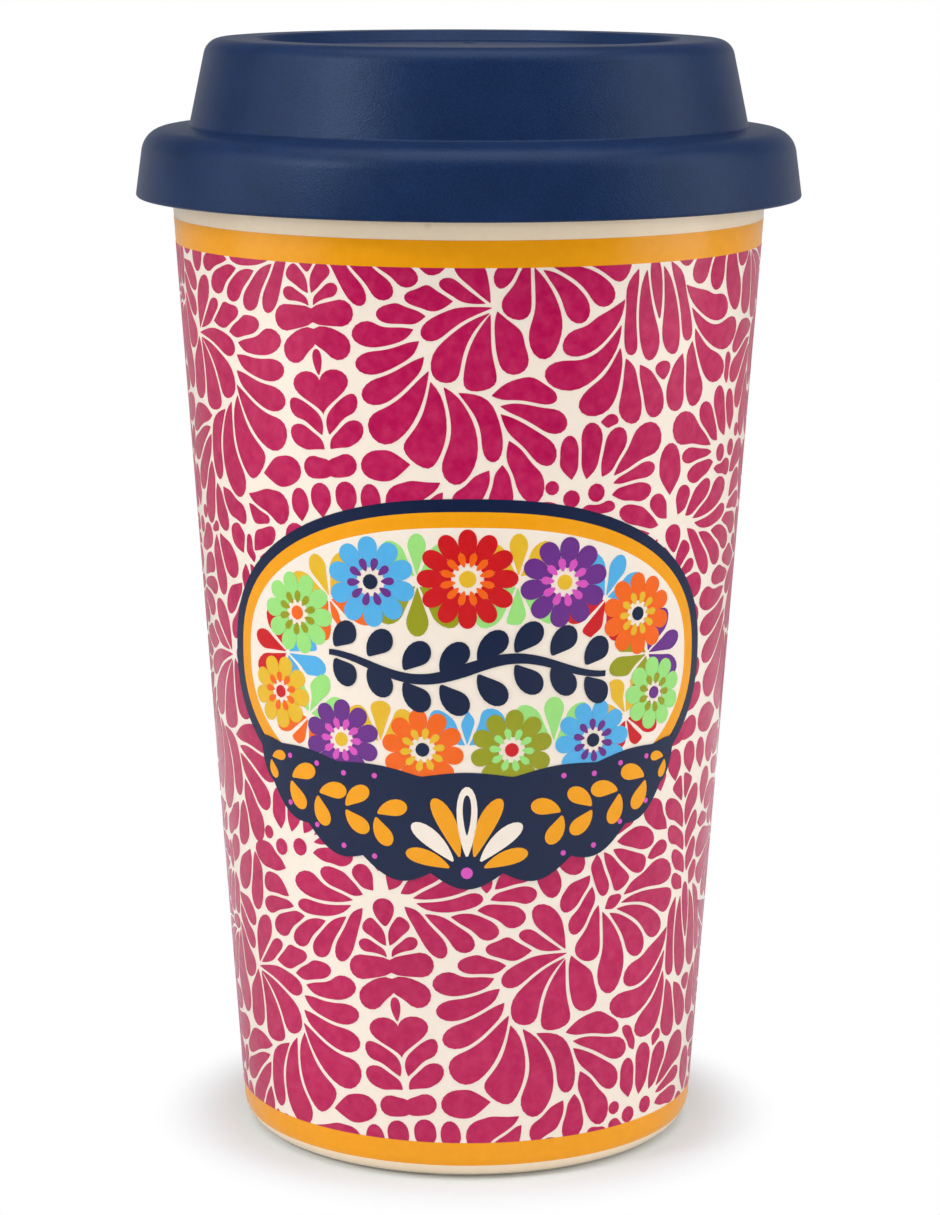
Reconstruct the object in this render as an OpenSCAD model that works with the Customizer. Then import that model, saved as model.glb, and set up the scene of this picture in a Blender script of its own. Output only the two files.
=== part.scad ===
// Double-walled ceramic travel cup with a push-on silicone lid.
// The cup stands on z = 0 about the Z axis, and its medallion faces -Y. All sizes are in millimetres.

/* [Outer shell] */
// Height of the cup to the top of its lip
cup_h = 146; // [130:1:165]
// Outer diameter of the cup at its lip
rim_d = 86.6; // [80:0.2:94]
// Outer diameter that the straight wall would have at the table
base_d = 66.4; // [60:0.2:72]
// Radius of the heel, where the wall turns under
heel_r = 4; // [3:0.25:5.5]
// Thickness of the outer wall
shell_t = 2.4; // [1.8:0.1:3.2]
// Thickness of the shell's base
base_t = 3; // [2:0.1:5]
// Width of the flat ring that the cup stands on
foot_w = 3.4; // [2:0.1:6]
// Depth of the hollow inside the foot ring
foot_recess = 2; // [1.5:0.1:3]

/* [Inner liner] */
// Thickness of the liner's wall
liner_t = 2.4; // [1.8:0.1:3.2]
// Thickness of the liner's floor
liner_floor_t = 3; // [2:0.1:5]
// Air space between shell and liner at the lip
lip_air = 1; // [0.6:0.1:2]
// Air space between shell and liner at the liner's floor
floor_air = 3.2; // [2:0.1:5]
// Air space between the shell's base and the liner's floor
under_air = 4; // [3:0.1:8]
// Height of the lip that covers the top of the shell
lip_h = 5; // [3:0.1:7]
// Rounding of the lip's edges
lip_r = 2.2; // [1:0.1:2.6]
// Rounding inside the liner's floor
liner_floor_r = 6; // [3:0.5:10]

/* [Vent plug] */
// Diameter of the vent hole in the shell's base
vent_d = 8; // [5:0.5:12]
// How far the plug's head covers the base round the hole
plug_head_w = 2.6; // [1.5:0.1:5]
// Thickness of the plug's head
plug_head_t = 1.1; // [0.6:0.1:1.3]
// How far the plug's barb catches the base round the hole
plug_barb_w = 1.1; // [0.5:0.1:2]
// Height of the plug's barb
plug_barb_h = 2; // [1:0.1:2.8]

/* [Fired prints] */
// Thickness of a printed layer of glaze
print_t = 0.3; // [0.2:0.02:0.5]
// Height of the upper band
upper_band_h = 3.7; // [2:0.1:6]
// Distance from the lip down to the upper band
upper_band_drop = 10.9; // [10:0.1:16]
// Height of the lower band
lower_band_h = 3.9; // [3.8:0.1:7]
// Height of the lower band's lower edge above the table
lower_band_rise = 2; // [1.8:0.1:2.8]
// Width of the medallion, seen from the front
medallion_w = 65.4; // [40:0.2:69]
// Height of the medallion's oval
medallion_h = 48.8; // [30:0.2:54]
// Height of the oval's centre above the table
medallion_z = 75.4; // [66:0.2:84]
// Width of the medallion's dark border, along the wall
border_w = 1.8; // [1:0.1:3]
// Width of the medallion's yellow band, along the wall
band_w = 2.2; // [1:0.1:4]
// Width of the garland that hugs the oval from below
garland_w = 58; // [36:0.5:60]
// Height of the garland's round, from its lowest point to its widest
garland_h = 19.5; // [14:0.5:22]
// How far the garland hangs below the oval
garland_drop = 7; // [4:0.2:10]

/* [Lid] */
// How far the skirt hangs below the cup's lip
skirt_drop = 8.1; // [6:0.1:9.5]
// Room between the lip and the skirt at the shoulder
skirt_room = 0.8; // [0.6:0.05:1.5]
// Thickness of the skirt
skirt_t = 2.6; // [2:0.1:3.5]
// How much wider the skirt is at its lower edge than at the shoulder, on each side
skirt_flare = 1.3; // [0.4:0.1:2.5]
// Thickness of the web that lies on the lip
web_t = 1.8; // [1.4:0.1:3.2]
// Fall of the shoulder from the crown to its edge
shoulder_fall = 0.7; // [0.2:0.1:1.6]
// Rounding of the shoulder's edge
shoulder_r = 3.6; // [2:0.1:4.4]
// Height of the crown above the shoulder
crown_h = 12.3; // [9:0.1:18]
// Distance that the crown's foot stands in from the lip
crown_inset = 3.1; // [2:0.1:4]
// How much the crown narrows to its top, on each side
crown_lean = 2.6; // [1:0.1:4]
// Thickness of the crown's wall and of its top
crown_t = 2.4; // [1.8:0.1:3]
// Rounding of the crown's top edge
crown_r = 2.6; // [1.6:0.1:4.6]
// Width of the raised ring round the dish
ring_w = 7.2; // [6:0.1:12]
// Depth of the dish in the crown's top
dish_depth = 1.5; // [1:0.1:4]
// Width of the dish's sloping side
dish_slope = 1; // [0.6:0.1:3]
// Rounding of the dish's edge and foot
dish_r = 0.8; // [0.4:0.1:2]
// Long side of the sip slot
sip_w = 16; // [12:0.5:22]
// Short side of the sip slot
sip_l = 6; // [5:0.1:8]
// Distance from the dish's foot to the sip slot and to the air hole
sip_inset = 6.4; // [3:0.1:9]
// Diameter of the air hole
air_hole_d = 2.4; // [1.6:0.1:4]

/* [Lid seal] */
// How far the sealing wall reaches below the lip
seal_h = 9; // [7:0.1:12]
// Thickness of the sealing wall
seal_t = 2.2; // [1.6:0.1:3]
// Room between the sealing wall and the liner
seal_room = 1; // [0.7:0.05:1.6]
// Height of a sealing rib or grip rib
rib_h = 2; // [1.2:0.1:2.4]
// Distance from the lip down to the first rib
rib_drop = 3.6; // [3:0.1:4.2]
// Distance from the first sealing rib to the second
rib_step = 3.2; // [2.8:0.1:3.6]

/* [Hidden] */
$fn = 96;
// Straight steps in a fillet, and in the medallion's outline
arc_steps = 6;
oval_steps = 72;
// Squareness of the medallion's oval: 2 is an ellipse
oval_power = 2.4;
// Room between a print and its seat, and between the plug and its hole
film_gap = 0.02;
plug_fit = 0.05;
// Room between the lid and the cup where ribs and web meet the lip
seat_gap = 0.25;
// Small roundings of moulded and glazed edges
soft_edge = 0.8;
fine_edge = 0.4;
// Extra length of a cutter past the face that it cuts
over = 1;

rim_r = rim_d / 2;
base_r = base_d / 2;
taper = (rim_r - base_r) / cup_h;
lean = atan(taper);
// The heel's arc turns about this point, which is also the outer edge of the foot ring
heel_centre = [base_r - heel_r * (1 - sin(lean)) / cos(lean), heel_r];
heel_top = heel_r * (1 - sin(lean));
foot_in_r = heel_centre[0] - foot_w;
shell_floor_z = foot_recess + base_t;
seam_z = cup_h - lip_h;
liner_floor_z = shell_floor_z + under_air + liner_floor_t;
mouth_r = rim_r - shell_t - lip_air - liner_t;
floor_r = wall_r(liner_floor_z) - shell_t - floor_air - liner_t;
liner_taper = (mouth_r - floor_r) / (cup_h - liner_floor_z);
lower_band_top = lower_band_rise + lower_band_h;
// How much narrower the wall looks from the front where the oval ends than at its middle
end_slant = sqrt(1 - pow(medallion_w / 2 / wall_r(medallion_z), 2));
garland_z = medallion_z - medallion_h / 2 - garland_drop + garland_h;
upper_band_top = cup_h - upper_band_drop;
upper_band_low = upper_band_top - upper_band_h;
skirt_low = cup_h - skirt_drop;
roof_z = cup_h + seat_gap;
shoulder_z = roof_z + web_t;
shoulder_edge = [rim_r + skirt_room + skirt_t, shoulder_z - shoulder_fall];
lid_r = shoulder_edge[0] + skirt_flare;
skirt_taper = skirt_flare / (shoulder_edge[1] - skirt_low);
lid_top = shoulder_z + crown_h;
crown_foot_r = rim_r - crown_inset;
crown_top_r = crown_foot_r - crown_lean;
dish_top_r = crown_top_r - ring_w;
dish_foot_r = dish_top_r - dish_slope;
dish_z = lid_top - dish_depth;
seal_low = cup_h - seal_h;
seal_in_r = liner_r(seal_low) - seal_room - seal_t;
sip_y = dish_foot_r - sip_inset - sip_l / 2;

ceramic = [0.95, 0.91, 0.83];
silicone = [0.11, 0.17, 0.31];
plug_grey = [0.85, 0.83, 0.78];
magenta = [0.69, 0.10, 0.32];
mustard = [0.93, 0.60, 0.08];
navy = [0.10, 0.15, 0.30];
field_cream = [0.97, 0.93, 0.86];

// Outer face of the wall, and inner face of the liner, at height z
function wall_r(z) = base_r + taper * z;
function liner_r(z) = floor_r + liner_taper * (z - liner_floor_z);
// Faces of the lid's skirt, sealing wall and crown at height z
function skirt_in_r(z) = lid_r - skirt_t - skirt_taper * (z - skirt_low);
function seal_r(z) = liner_r(z) - seal_room;
function crown_in_r(z) = crown_foot_r - crown_t - crown_lean * (z - shoulder_z) / crown_h;

function unit(v) = v / norm(v);
function angle_of(v) = atan2(v[1], v[0]);
function short_turn(a) = a > 180 ? a - 360 : a < -180 ? a + 360 : a;
function arc(centre, r, from, turn) =
    [for (i = [0:arc_steps]) centre + r * [cos(from + turn * i / arc_steps), sin(from + turn * i / arc_steps)]];

// The points of one corner q between p and s, rounded by r or by as much as its sides allow
function corner(p, q, s, r) =
    let (u = unit(p - q), v = unit(s - q))
    let (half = acos(u * v) / 2)
    let (fit = min(r, tan(half) * min(norm(p - q), norm(s - q)) / 2))
    let (centre = q + unit(u + v) * fit / sin(half))
    let (from = angle_of(q + u * fit / tan(half) - centre))
    let (to = angle_of(q + v * fit / tan(half) - centre))
    arc(centre, fit, from, short_turn(to - from));

// An outline from corners given as [radius, height, rounding]
function rounded(c) =
    let (n = len(c))
    let (p = [for (k = c) [k[0], k[1]]])
    [for (i = [0:n - 1]) each c[i][2] == 0 ? [p[i]] : corner(p[(i + n - 1) % n], p[i], p[(i + 1) % n], c[i][2])];

function backwards(list) = [for (i = [len(list) - 1:-1:0]) list[i]];

// The cup's outer face from height low to height high, moved out by d
function wall_point(z, d) = [wall_r(z), z] + d * [cos(lean), -sin(lean)];
function heel_turn(z) = asin((z - heel_r) / heel_r);
function skin(low, high, d) =
    concat(low < heel_top ? arc(heel_centre, heel_r + d, heel_turn(low), -lean - heel_turn(low)) : [wall_point(low, d)],
           [wall_point(high, d)]);

// A bead on a wall, from its upper foot to its lower foot: the wall's radii there, and the bead's own radius
function bead(z, upper_r, lower_r, crest_r) =
    [[upper_r, z, 0],
     [crest_r, z - rib_h / 3, fine_edge],
     [crest_r, z - rib_h * 2 / 3, fine_edge],
     [lower_r, z - rib_h, 0]];
function seal_bead(z) = bead(z, seal_r(z), seal_r(z - rib_h), liner_r(z - rib_h) - seat_gap);
function grip_bead(z) = bead(z, skirt_in_r(z), skirt_in_r(z - rib_h), rim_r + seat_gap);

// The outline of a layer on the wall between two heights, from inside to outside its face
function layer(low, high, inside, outside) = concat(skin(low, high, inside), backwards(skin(low, high, outside)));

// A print fired into the wall between two heights, flush with the bare glaze
module film(low, high)
    rotate_extrude()
        polygon(layer(low, high, -print_t, 0));

// Cuts straight through the front of the cup along the outline drawn by its children
module through_front()
    rotate([90, 0, 0])
        linear_extrude(rim_d)
            children();

// The medallion's oval, drawn in by inset
module oval(inset)
    translate([0, medallion_z])
        polygon([for (i = [0:oval_steps - 1])
            let (c = cos(360 * i / oval_steps), s = sin(360 * i / oval_steps))
            [(medallion_w / 2 - inset * end_slant) * sign(c) * pow(abs(c), 2 / oval_power),
             (medallion_h / 2 - inset) * sign(s) * pow(abs(s), 2 / oval_power)]]);

// A crescent that hugs the oval from below
module garland_outline()
    difference() {
        translate([0, garland_z])
            polygon([for (i = [0:oval_steps - 1])
                [garland_w / 2 * cos(360 * i / oval_steps), garland_h * sin(360 * i / oval_steps)]]);
        oval(0);
    }

module outer_shell()
    color(ceramic)
        rotate_extrude()
            difference() {
                polygon(rounded([
                    [vent_d / 2, foot_recess, 0],
                    [foot_in_r, foot_recess, soft_edge],
                    [foot_in_r, 0, soft_edge],
                    [base_r, 0, heel_r],
                    [wall_r(seam_z), seam_z, 0],
                    [wall_r(seam_z) - shell_t, seam_z, 0],
                    [wall_r(shell_floor_z) - shell_t, shell_floor_z, heel_r],
                    [vent_d / 2, shell_floor_z, 0]]));
                polygon(layer(lower_band_rise, upper_band_top, -print_t - film_gap, over));
            }

module inner_liner()
    color(ceramic)
        rotate_extrude()
            polygon(rounded([
                [0, liner_floor_z - liner_floor_t, 0],
                [liner_r(liner_floor_z - liner_floor_t) + liner_t, liner_floor_z - liner_floor_t, liner_floor_r + liner_t],
                [liner_r(seam_z) + liner_t, seam_z, 0],
                [wall_r(seam_z), seam_z, 0],
                [rim_r, cup_h, lip_r],
                [mouth_r, cup_h, lip_r],
                [floor_r, liner_floor_z, liner_floor_r],
                [0, liner_floor_z, 0]]));

module vent_plug()
    color(plug_grey)
        rotate_extrude()
            polygon(rounded([
                [0, foot_recess - plug_head_t, 0],
                [vent_d / 2 + plug_head_w, foot_recess - plug_head_t, fine_edge],
                [vent_d / 2 + plug_head_w, foot_recess, 0],
                [vent_d / 2 - plug_fit, foot_recess, 0],
                [vent_d / 2 - plug_fit, shell_floor_z, 0],
                [vent_d / 2 + plug_barb_w, shell_floor_z, 0],
                [vent_d / 2 - plug_barb_w, shell_floor_z + plug_barb_h, fine_edge],
                [0, shell_floor_z + plug_barb_h, 0]]));

module petal_print()
    color(magenta)
        difference() {
            film(lower_band_top, upper_band_low);
            through_front() {
                oval(0);
                garland_outline();
            }
        }

module upper_band()
    color(mustard)
        film(upper_band_low, upper_band_top);

module lower_band()
    color(mustard)
        film(lower_band_rise, lower_band_top);

module medallion_border()
    color(navy)
        intersection() {
            film(lower_band_top, upper_band_low);
            through_front()
                difference() {
                    oval(0);
                    oval(border_w);
                }
        }

module medallion_band()
    color(mustard)
        intersection() {
            film(lower_band_top, upper_band_low);
            through_front()
                difference() {
                    oval(border_w);
                    oval(border_w + band_w);
                }
        }

module medallion_field()
    color(field_cream)
        intersection() {
            film(lower_band_top, upper_band_low);
            through_front()
                oval(border_w + band_w);
        }

module medallion_garland()
    color(navy)
        intersection() {
            film(lower_band_top, upper_band_low);
            through_front()
                garland_outline();
        }

module lid()
    color(silicone)
        difference() {
            rotate_extrude()
                polygon(rounded(concat(
                    [[0, dish_z, 0],
                     [dish_foot_r, dish_z, dish_r],
                     [dish_top_r, lid_top, dish_r],
                     [crown_top_r, lid_top, crown_r],
                     [crown_foot_r, shoulder_z, soft_edge],
                     [shoulder_edge[0], shoulder_edge[1], shoulder_r],
                     [lid_r, skirt_low, fine_edge],
                     [lid_r - skirt_t, skirt_low, soft_edge]],
                    backwards(grip_bead(cup_h - rib_drop)),
                    [[skirt_in_r(roof_z), roof_z, soft_edge],
                     [seal_r(roof_z), roof_z, soft_edge]],
                    seal_bead(cup_h - rib_drop),
                    seal_bead(cup_h - rib_drop - rib_step),
                    [[seal_r(seal_low), seal_low, soft_edge],
                     [seal_in_r, seal_low, soft_edge],
                     [seal_in_r, shoulder_z, soft_edge],
                     [crown_in_r(shoulder_z), shoulder_z, soft_edge],
                     [crown_in_r(lid_top - crown_t), lid_top - crown_t, soft_edge],
                     [dish_top_r, lid_top - crown_t, soft_edge],
                     [dish_foot_r, dish_z - crown_t, soft_edge],
                     [0, dish_z - crown_t, 0]])));
            sip_slot();
            translate([0, sip_y, dish_z - crown_t - over])
                cylinder(d = air_hole_d, h = crown_t + 2 * over);
        }

// The slot's two round ends and the straight stretch between them
module sip_slot()
    translate([0, -sip_y, dish_z - crown_t - over]) {
        for (side = [-1, 1])
            translate([side * (sip_w - sip_l) / 2, 0, 0])
                cylinder(d = sip_l, h = crown_t + 2 * over);
        translate([-(sip_w - sip_l) / 2, -sip_l / 2, 0])
            cube([sip_w - sip_l, sip_l, crown_t + 2 * over]);
    }

outer_shell();
inner_liner();
vent_plug();
petal_print();
upper_band();
lower_band();
medallion_border();
medallion_band();
medallion_field();
medallion_garland();
lid();
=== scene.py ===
import math

import bmesh
import bpy
import numpy as np
from mathutils import Matrix


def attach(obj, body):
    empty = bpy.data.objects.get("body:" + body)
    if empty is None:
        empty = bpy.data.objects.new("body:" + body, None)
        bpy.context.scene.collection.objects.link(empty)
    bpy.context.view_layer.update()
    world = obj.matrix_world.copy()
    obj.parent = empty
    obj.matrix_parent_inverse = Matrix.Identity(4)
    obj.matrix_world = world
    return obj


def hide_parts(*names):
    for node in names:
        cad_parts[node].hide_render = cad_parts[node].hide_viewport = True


bl_info = {
    "name": "Lidded travel cup",
    "version": (1, 0, 0),
    "blender": (4, 5, 0),
    "location": "View3D > Sidebar > Cup",
    "description": "Dresses a glazed travel cup with its fired prints and its silicone lid",
    "category": "Object",
}

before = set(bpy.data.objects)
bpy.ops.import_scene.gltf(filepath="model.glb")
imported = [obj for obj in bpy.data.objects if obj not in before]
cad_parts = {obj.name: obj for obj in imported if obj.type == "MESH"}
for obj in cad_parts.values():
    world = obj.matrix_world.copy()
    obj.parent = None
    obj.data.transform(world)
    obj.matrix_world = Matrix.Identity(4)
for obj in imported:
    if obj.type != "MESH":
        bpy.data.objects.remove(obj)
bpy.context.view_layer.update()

MM = 0.001


# Properties that a user would change

def size(label, about, millimetres):
    """A length property, written in millimetres."""
    return bpy.props.FloatProperty(name=label, description=about, default=millimetres * MM,
                                   subtype="DISTANCE", unit="LENGTH", precision=5)


def turn(label, about, degrees):
    """An angle property, written in degrees."""
    return bpy.props.FloatProperty(name=label, description=about, default=math.radians(degrees),
                                   subtype="ANGLE", unit="ROTATION")


def linear(level):
    """A screen level from 0 to 255 as linear light."""
    part = level / 255
    if part <= 0.04045:
        return part / 12.92
    return ((part + 0.055) / 1.055) ** 2.4


def paint(label, about, red, green, blue):
    """A colour property, written in screen levels."""
    return bpy.props.FloatVectorProperty(name=label, description=about, subtype="COLOR", size=3, min=0, max=1,
                                         default=(linear(red), linear(green), linear(blue)))


class CupSizes(bpy.types.PropertyGroup):
    """Sizes of the ceramic cup."""
    height: size("Height", "Height of the cup to the top of its lip", 146)
    rim_width: size("Rim width", "Outer diameter at the lip", 86.6)
    base_width: size("Base width", "Outer diameter that the straight wall would have at the table", 66.4)
    heel: size("Heel", "Radius where the wall turns under", 4)
    shell: size("Shell", "Thickness of the outer wall", 2.4)
    base: size("Base", "Thickness of the shell's base", 3)
    foot: size("Foot", "Width of the ring that the cup stands on", 3.4)
    recess: size("Recess", "Depth of the hollow inside the foot ring", 2)
    vent: size("Vent", "Diameter of the vent hole in the base", 8)
    liner: size("Liner", "Thickness of the inner wall", 2.4)
    floor: size("Floor", "Thickness of the liner's floor", 3)
    lip_air: size("Lip air", "Air space between shell and liner at the lip", 1)
    floor_air: size("Floor air", "Air space between shell and liner at the floor", 3.2)
    under_air: size("Under air", "Air space between the base and the liner's floor", 4)
    lip: size("Lip", "Height of the lip that covers the shell", 5)
    lip_round: size("Lip rounding", "Rounding of the lip's edges", 2.2)
    floor_round: size("Floor rounding", "Rounding inside the liner's floor", 6)


class PrintSizes(bpy.types.PropertyGroup):
    """Sizes of the fired prints."""
    lift: size("Lift", "Height of one printed layer above the one below", 0.035)
    upper_height: size("Upper band", "Height of the upper band", 3.7)
    upper_drop: size("Upper drop", "Distance from the lip down to the upper band", 10.9)
    lower_height: size("Lower band", "Height of the lower band", 3.9)
    lower_rise: size("Lower rise", "Height of the lower band above the table", 2)
    oval_width: size("Oval width", "Width of the medallion, seen from the front", 65.4)
    oval_height: size("Oval height", "Height of the medallion", 48.8)
    oval_middle: size("Oval middle", "Height of the medallion's centre above the table", 75.4)
    border: size("Border", "Width of the medallion's dark border", 1.8)
    band: size("Band", "Width of the medallion's yellow band", 2.2)
    line: size("Line", "Width of the bare line between two petals", 0.42)
    tilt: turn("Tilt", "How far the petal sheet is turned on the wall", 7)


class LidSizes(bpy.types.PropertyGroup):
    """Sizes of the silicone lid."""
    skirt_drop: size("Skirt drop", "How far the skirt hangs below the lip", 8.1)
    skirt_room: size("Skirt room", "Room between lip and skirt at the shoulder", 0.8)
    skirt: size("Skirt", "Thickness of the skirt", 2.6)
    flare: size("Flare", "How much wider the skirt is at its lower edge, on each side", 1.3)
    web: size("Web", "Thickness of the web that lies on the lip", 1.8)
    seat: size("Seat", "Room between the lid and the lip", 0.25)
    fall: size("Fall", "Fall of the shoulder from the crown to its edge", 0.7)
    shoulder_round: size("Shoulder rounding", "Rounding of the shoulder's edge", 3.6)
    crown_height: size("Crown height", "Height of the crown above the shoulder", 12.3)
    crown_inset: size("Crown inset", "Distance of the crown's foot from the lip", 3.1)
    crown_lean: size("Crown lean", "How much the crown narrows to its top, on each side", 2.6)
    crown: size("Crown", "Thickness of the crown", 2.4)
    crown_round: size("Crown rounding", "Rounding of the crown's top edge", 2.6)
    ring: size("Ring", "Width of the raised ring round the dish", 7.2)
    dish: size("Dish", "Depth of the dish", 1.5)
    dish_slope: size("Dish slope", "Width of the dish's sloping side", 1)
    dish_round: size("Dish rounding", "Rounding of the dish's edge and foot", 0.8)
    slot_width: size("Slot width", "Long side of the sip slot", 16)
    slot_length: size("Slot length", "Short side of the sip slot", 6)
    slot_inset: size("Slot inset", "Distance from the dish's foot to the slot and the air hole", 6.4)
    air_hole: size("Air hole", "Diameter of the air hole", 2.4)
    seal: size("Seal", "How far the sealing wall reaches below the lip", 9)
    seal_wall: size("Seal wall", "Thickness of the sealing wall", 2.2)
    seal_room: size("Seal room", "Room between the sealing wall and the liner", 1)
    rib: size("Rib", "Height of a sealing rib", 2)
    rib_drop: size("Rib drop", "Distance from the lip down to the first rib", 3.6)
    rib_step: size("Rib step", "Distance between the sealing ribs", 3.2)
    soft: size("Soft edge", "Small rounding of a moulded edge", 0.8)
    fine: size("Fine edge", "Finest rounding of a moulded edge", 0.4)


class CupColours(bpy.types.PropertyGroup):
    """Colours of glaze, prints and silicone."""
    cream: paint("Cream", "Clear glaze over the cream body", 253, 231, 201)
    ground: paint("Ground", "Pale ground of the prints", 253, 238, 222)
    magenta: paint("Magenta", "Petal print", 190, 22, 85)
    mustard: paint("Mustard", "Bands", 250, 164, 0)
    navy: paint("Navy", "Medallion's dark print", 6, 26, 62)
    silicone: paint("Silicone", "Lid", 21, 42, 79)
    plug: paint("Plug", "Vent plug", 217, 212, 199)
    red: paint("Red", "Medallion's red", 210, 16, 24)
    orange: paint("Orange", "Medallion's orange", 250, 104, 14)
    purple: paint("Purple", "Medallion's purple", 108, 44, 136)
    sky: paint("Sky", "Medallion's blue", 84, 178, 232)
    leaf: paint("Leaf", "Medallion's light green", 160, 228, 126)
    olive: paint("Olive", "Medallion's olive", 156, 158, 20)
    gold: paint("Gold", "Medallion's gold", 238, 188, 40)
    pink: paint("Pink", "Medallion's pink", 222, 84, 190)


# Shared mesh helpers

ROUND_STEPS = 8
TURN_STEPS = 256
SHARP_ANGLE = math.radians(35)
MERGE = 1e-7


def rounded(corners):
    """Outline through corners given as (radius, height, rounding), closed back to its first corner."""
    points = [np.array(c[:2], float) for c in corners]
    outline = []
    for i, q in enumerate(points):
        reach = corners[i][2]
        if reach == 0:
            outline.append(q)
            continue
        before = points[i - 1] - q
        after = points[(i + 1) % len(points)] - q
        u = before / np.linalg.norm(before)
        v = after / np.linalg.norm(after)
        half = math.acos(max(-1, min(1, float(u @ v)))) / 2
        fit = min(reach, math.tan(half) * min(np.linalg.norm(before), np.linalg.norm(after)) / 2)
        middle = (u + v) / np.linalg.norm(u + v)
        centre = q + middle * fit / math.sin(half)
        first = q + u * fit / math.tan(half) - centre
        last = q + v * fit / math.tan(half) - centre
        start = math.atan2(first[1], first[0])
        swing = math.remainder(math.atan2(last[1], last[0]) - start, 2 * math.pi)
        for k in range(ROUND_STEPS + 1):
            a = start + swing * k / ROUND_STEPS
            outline.append(centre + fit * np.array((math.cos(a), math.sin(a))))
    return outline


def new_object(name, mesh):
    made = bpy.data.objects.new(name, mesh)
    bpy.context.scene.collection.objects.link(made)
    return made


def make_plain(piece):
    """Turns a piece and its modifiers into one plain mesh with closed seams and outward faces."""
    depsgraph = bpy.context.evaluated_depsgraph_get()
    mesh = bpy.data.meshes.new_from_object(piece.evaluated_get(depsgraph))
    piece.modifiers.clear()
    old = piece.data
    piece.data = mesh
    bpy.data.meshes.remove(old)
    mesh.name = piece.name
    work = bmesh.new()
    work.from_mesh(mesh)
    bmesh.ops.remove_doubles(work, verts=work.verts, dist=MERGE)
    bmesh.ops.dissolve_degenerate(work, edges=work.edges, dist=MERGE)
    bmesh.ops.recalc_face_normals(work, faces=work.faces)
    work.to_mesh(mesh)
    work.free()
    mesh.shade_smooth()
    mesh.set_sharp_from_angle(angle=SHARP_ANGLE)
    return piece


def turned(name, outline, material):
    """A piece turned about the cup's axis from its outline of radii and heights."""
    count = len(outline)
    on_axis = outline[0][0] == 0 and outline[-1][0] == 0
    edges = [(i, (i + 1) % count) for i in range(count - 1 if on_axis else count)]
    mesh = bpy.data.meshes.new(name)
    mesh.from_pydata([(r, 0, z) for r, z in outline], edges, [])
    piece = new_object(name, mesh)
    screw = piece.modifiers.new("Turn", "SCREW")
    screw.axis = "Z"
    screw.angle = 2 * math.pi
    screw.steps = TURN_STEPS
    screw.render_steps = TURN_STEPS
    screw.use_merge_vertices = True
    screw.merge_threshold = MERGE
    make_plain(piece)
    piece.data.materials.append(material)
    return piece


def dress(piece, body, slot_name, *nodes):
    """Puts a finished piece on its body and in place of its CAD nodes. The slot name is not used."""
    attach(piece, body)
    if nodes:
        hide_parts(*nodes)


# Form of the cup, from the sizes

class Form:
    """Radii and heights that several pieces share, in metres."""

    def __init__(self, scene):
        c = scene.cup_sizes
        p = scene.cup_prints
        self.rim = c.rim_width / 2
        self.base = c.base_width / 2
        self.taper = (self.rim - self.base) / c.height
        lean = math.atan(self.taper)
        self.heel_middle = self.base - c.heel * (1 - math.sin(lean)) / math.cos(lean)
        self.heel_top = c.heel * (1 - math.sin(lean))
        self.lean = lean
        self.heel = c.heel
        self.foot_inner = self.heel_middle - c.foot
        self.shell_floor = c.recess + c.base
        self.seam = c.height - c.lip
        self.floor_top = self.shell_floor + c.under_air + c.floor
        self.mouth = self.rim - c.shell - c.lip_air - c.liner
        self.floor_radius = self.wall(self.floor_top) - c.shell - c.floor_air - c.liner
        self.liner_taper = (self.mouth - self.floor_radius) / (c.height - self.floor_top)
        self.upper_top = c.height - p.upper_drop
        self.field_top = self.upper_top - p.upper_height
        self.field_low = p.lower_rise + p.lower_height

    def wall(self, z):
        return self.base + self.taper * z

    def liner(self, z):
        return self.floor_radius + self.liner_taper * (z - self.floor_top)

    def skin(self, low, high, out):
        """Points up the cup's outer face between two heights, moved out from it."""
        points = []
        if low < self.heel_top:
            start = math.asin((low - self.heel) / self.heel)
            for k in range(ROUND_STEPS + 1):
                a = start + (-self.lean - start) * k / ROUND_STEPS
                reach = self.heel + out
                points.append((self.heel_middle + reach * math.cos(a), self.heel + reach * math.sin(a)))
        else:
            points.append((self.wall(low) + out * math.cos(self.lean), low - out * math.sin(self.lean)))
        points.append((self.wall(high) + out * math.cos(self.lean), high - out * math.sin(self.lean)))
        return points


# Node helpers

def node(tree, kind, inputs=None, **settings):
    """A node with its settings, and its inputs set to values or linked to sockets."""
    made = tree.nodes.new(kind)
    for key, value in settings.items():
        setattr(made, key, value)
    for key, value in (inputs or {}).items():
        if isinstance(value, bpy.types.NodeSocket):
            tree.links.new(value, made.inputs[key])
        else:
            made.inputs[key].default_value = value
    return made


def sum_of(tree, operation, *values):
    """The output of one math node."""
    return node(tree, "ShaderNodeMath", dict(enumerate(values)), operation=operation).outputs[0]


def spread(tree, value, source, target, **settings):
    """The output of a map from one range to another."""
    ends = {"From Min": source[0], "From Max": source[1], "To Min": target[0], "To Max": target[1]}
    return node(tree, "ShaderNodeMapRange", {"Value": value, **ends}, **settings).outputs[0]


def noise(tree, place, scale, detail):
    """The output of one noise texture."""
    return node(tree, "ShaderNodeTexNoise", {"Vector": place, "Scale": scale, "Detail": detail}).outputs[0]


def new_group(name, kind, inputs, outputs):
    """A node group with its sockets, given as labels and kinds."""
    tree = bpy.data.node_groups.new(name, kind)
    for way, sockets in (("INPUT", inputs), ("OUTPUT", outputs)):
        for label, socket in sockets.items():
            tree.interface.new_socket(name=label, in_out=way, socket_type="NodeSocket" + socket)
    return tree


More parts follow.
